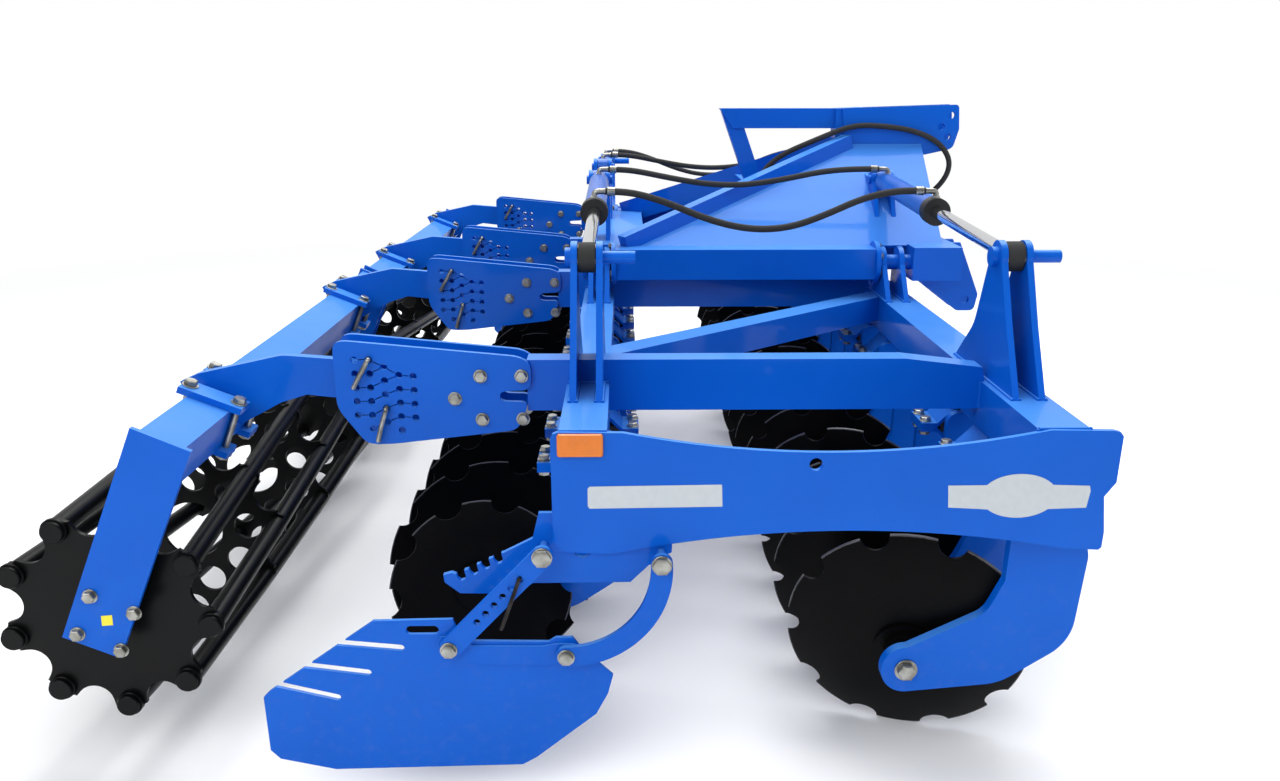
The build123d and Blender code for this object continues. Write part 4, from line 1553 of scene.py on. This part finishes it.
@dataclass
class Studio:
    """Camera at the photograph's place, soft lights, pale floor and world."""

    image_width: float = 1280.0
    focal_pixels: float = 1027.4
    sensor: float = 36.0
    eye: Point = (0.0754, -3.978, 1.517)
    pitch: float = 16.515
    yaw: float = 0.839
    floor_size: float = 60.0

    def build(self) -> None:
        """Make the camera, the floor, the lights and the world."""
        self.camera()
        self.floor()
        self.lamp("key", (-2.6, -5.6, 4.2), 4.0, 165.0)
        self.lamp("fill", (5.2, -3.4, 3.0), 4.0, 70.0)
        self.lamp("top", (0.4, 1.6, 6.0), 6.0, 520.0)
        self.world()
        bpy.context.scene.view_settings.view_transform = "Standard"

    def camera(self) -> None:
        """Camera with the photograph's focal length, place and angles."""
        data = bpy.data.cameras.new("camera")
        data.sensor_width = self.sensor
        data.lens = self.sensor * self.focal_pixels / self.image_width
        data.clip_end = 200.0
        camera = bpy.data.objects.new("camera", data)
        camera.location = self.eye
        camera.rotation_euler = Euler((math.radians(90 - self.pitch), 0.0, math.radians(-self.yaw)))
        bpy.context.collection.objects.link(camera)
        bpy.context.scene.camera = camera

    def floor(self) -> None:
        """Flat square floor under the machine."""
        half = self.floor_size / 2
        corners = [(-half, -half, 0.0), (half, -half, 0.0), (half, half, 0.0), (-half, half, 0.0)]
        mesh = bpy.data.meshes.new("floor")
        mesh.from_pydata(corners, [], [(0, 1, 2, 3)])
        mesh.materials.append(Floor().make())
        floor = bpy.data.objects.new("floor", mesh)
        bpy.context.collection.objects.link(floor)

    @staticmethod
    def lamp(name: str, place: Point, size: float, power: float) -> None:
        """Square area light that points at the middle of the machine.

        Args:
            name: Name of the light.
            place: Where it hangs.
            size: Side of the square, in metres.
            power: Power in watts.
        """
        data = bpy.data.lights.new(name, "AREA")
        data.size = size
        data.energy = power
        lamp = bpy.data.objects.new(name, data)
        lamp.location = place
        away = np.array(place) - np.array((0.0, 0.0, 0.6))
        across = math.atan2(away[0], -away[1])
        down = math.atan2(math.hypot(away[0], away[1]), away[2])
        lamp.rotation_euler = Euler((down, 0.0, across))
        bpy.context.collection.objects.link(lamp)

    @staticmethod
    def world() -> None:
        """Even light; the camera sees plain white, and mirror rays see white behind the machine
        and a dim room on the photographer's side."""
        world = bpy.data.worlds.new("studio")
        world.use_nodes = True
        tree = world.node_tree
        tree.nodes.clear()
        path = tree.nodes.new("ShaderNodeLightPath")
        light = tree.nodes.new("ShaderNodeBackground")
        light.inputs[0].default_value = (0.93, 0.96, 1.0, 1.0)
        light.inputs[1].default_value = 0.62
        way = tree.nodes.new("ShaderNodeTexCoord")
        parts = tree.nodes.new("ShaderNodeSeparateXYZ")
        level = tree.nodes.new("ShaderNodeMapRange")
        for socket, value in ((1, -0.25), (2, 0.45), (3, 0.16), (4, 1.0)):
            level.inputs[socket].default_value = value
        mirror = tree.nodes.new("ShaderNodeBackground")
        pick = tree.nodes.new("ShaderNodeMixShader")
        white = tree.nodes.new("ShaderNodeBackground")
        white.inputs[0].default_value = (1.0, 1.0, 1.0, 1.0)
        white.inputs[1].default_value = 1.0
        mix = tree.nodes.new("ShaderNodeMixShader")
        out = tree.nodes.new("ShaderNodeOutputWorld")
        tree.links.new(way.outputs["Generated"], parts.inputs[0])
        tree.links.new(parts.outputs[1], level.inputs[0])
        tree.links.new(level.outputs[0], mirror.inputs[1])
        tree.links.new(path.outputs["Is Glossy Ray"], pick.inputs[0])
        tree.links.new(light.outputs[0], pick.inputs[1])
        tree.links.new(mirror.outputs[0], pick.inputs[2])
        tree.links.new(path.outputs["Is Camera Ray"], mix.inputs[0])
        tree.links.new(pick.outputs[0], mix.inputs[1])
        tree.links.new(white.outputs[0], mix.inputs[2])
        tree.links.new(mix.outputs[0], out.inputs[0])
        bpy.context.scene.world = world


def port_fittings(wing: str, side: float) -> None:
    """Studs and elbows on both barrels, where the hoses leave them.

    Args:
        wing: Name of the wing.
        side: -1 on the right and 1 on the left.
    """
    piece = Piece(f"{wing}_port_fittings", Finish.ZINC, f"{wing}_lift_barrels")
    stud, neck = 0.012, 0.010
    for x, toward in zip(CYLINDER_X, (1.0, -1.0)):
        for (foot_y, foot_z), (top_y, top_z) in PORTS:
            foot, top = (x, side * foot_y, foot_z), (x, side * top_y, top_z)
            rise = tuple(np.array(top) - np.array(foot))
            high = math.dist(foot, top)
            piece.add(turned([(0.0, stud), (high - 0.014, stud), (high - 0.013, neck)],
                             foot, rise, 6))
            bend = tuple(np.array(foot) + 0.6 * np.array(rise))
            piece.tube([bend, top, (x + toward * PORT_REACH, top[1], top[2])], ELBOW_R, 3, 14)
    piece.finished()


def eye_boots(wing: str, side: float) -> None:
    """Black boots over the rods' eyes: short sleeves between the lug plates.

    Args:
        wing: Name of the wing.
        side: -1 on the right and 1 on the left.
    """
    piece = Piece(f"{wing}_eye_boots", Finish.RUBBER, f"{wing}_lift_rods")
    end_r, chamfer, length = 0.0330, 0.002, EYE_SLEEVE_LENGTH
    for x in CYLINDER_X:
        profile = [(0.0, end_r), (chamfer, EYE_SLEEVE), (length - chamfer, EYE_SLEEVE),
                   (length, end_r)]
        piece.add(turned(profile, (x - length / 2, side * EYE_Y, EYE_Z), (1, 0, 0), 40))
    piece.finished()


def wing_hoses(wing: str, side: float) -> list[Hose]:
    """The hoses that join the wing's cylinders; each hangs in the upright plane of its ports.

    Args:
        wing: Name of the wing.
        side: -1 on the right and 1 on the left.

    Returns:
        The hoses, not yet built.
    """
    low = ((0.019, 1.243), (0.100, 1.241), (0.225, 1.215), (0.350, 1.193), (0.480, 1.188),
           (0.620, 1.208), (0.760, 1.237), (0.870, 1.2435), (0.948, 1.243))
    deep = ((0.019, 1.225), (0.100, 1.222), (0.200, 1.192), (0.310, 1.145), (0.430, 1.114),
            (0.550, 1.116), (0.660, 1.155), (0.760, 1.202), (0.860, 1.2255), (0.948, 1.225))
    made = []
    for name, (_, (port_y, _)), route in zip(("base_hose", "gland_hose"), PORTS, (low, deep)):
        corners = tuple((x, side * port_y, z) for x, z in route)
        made.append(Hose(f"{wing}_{name}", f"{wing}_lift_barrels", corners))
    return made


def top_hose() -> Hose:
    """Hose beside the top link's plates: up from the headstock's deck, over and down behind.

    Returns:
        The hose, not yet built.
    """
    corners = ((0.575, -0.090, 1.178), (0.590, -0.088, 1.215), (0.653, -0.080, 1.271),
               (0.770, -0.075, 1.320), (0.908, -0.075, 1.376), (1.001, -0.075, 1.378),
               (1.151, -0.075, 1.360), (1.255, -0.075, 1.310), (1.300, -0.075, 1.234),
               (1.262, -0.062, 1.150), (1.190, -0.045, 1.100), (1.150, -0.040, 1.060),
               (1.148, -0.040, 1.008))
    return Hose("top_hose", "root", corners)


def main() -> None:
    """Build the stage and dress the machine, in order."""
    logging.basicConfig(level=logging.INFO, format="%(message)s")
    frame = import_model()
    Studio().build()
    for wing, side in (("right", -1.0), ("left", 1.0)):
        for hose in wing_hoses(wing, side):
            hose.build()
    top_hose().build()
    places = disc_places()
    PaintShop(frame).dress(places)
    for wing, side in (("right", -1.0), ("left", 1.0)):
        own = [(row, centre, axis, radius) for name, row, _, centre, axis, radius in places
               if name == wing]
        HolePlates(wing, side).build()
        StarRoller(wing, side).build()
        PanelWithRack(wing, side).build()
        DeflectorPlates(wing, side).build()
        WingHardware(wing, side).build(own)
        DeflectorHardware(wing, side).build()
        port_fittings(wing, side)
        eye_boots(wing, side)
    HingeHardware().build()


if __name__ == "__main__":
    main()
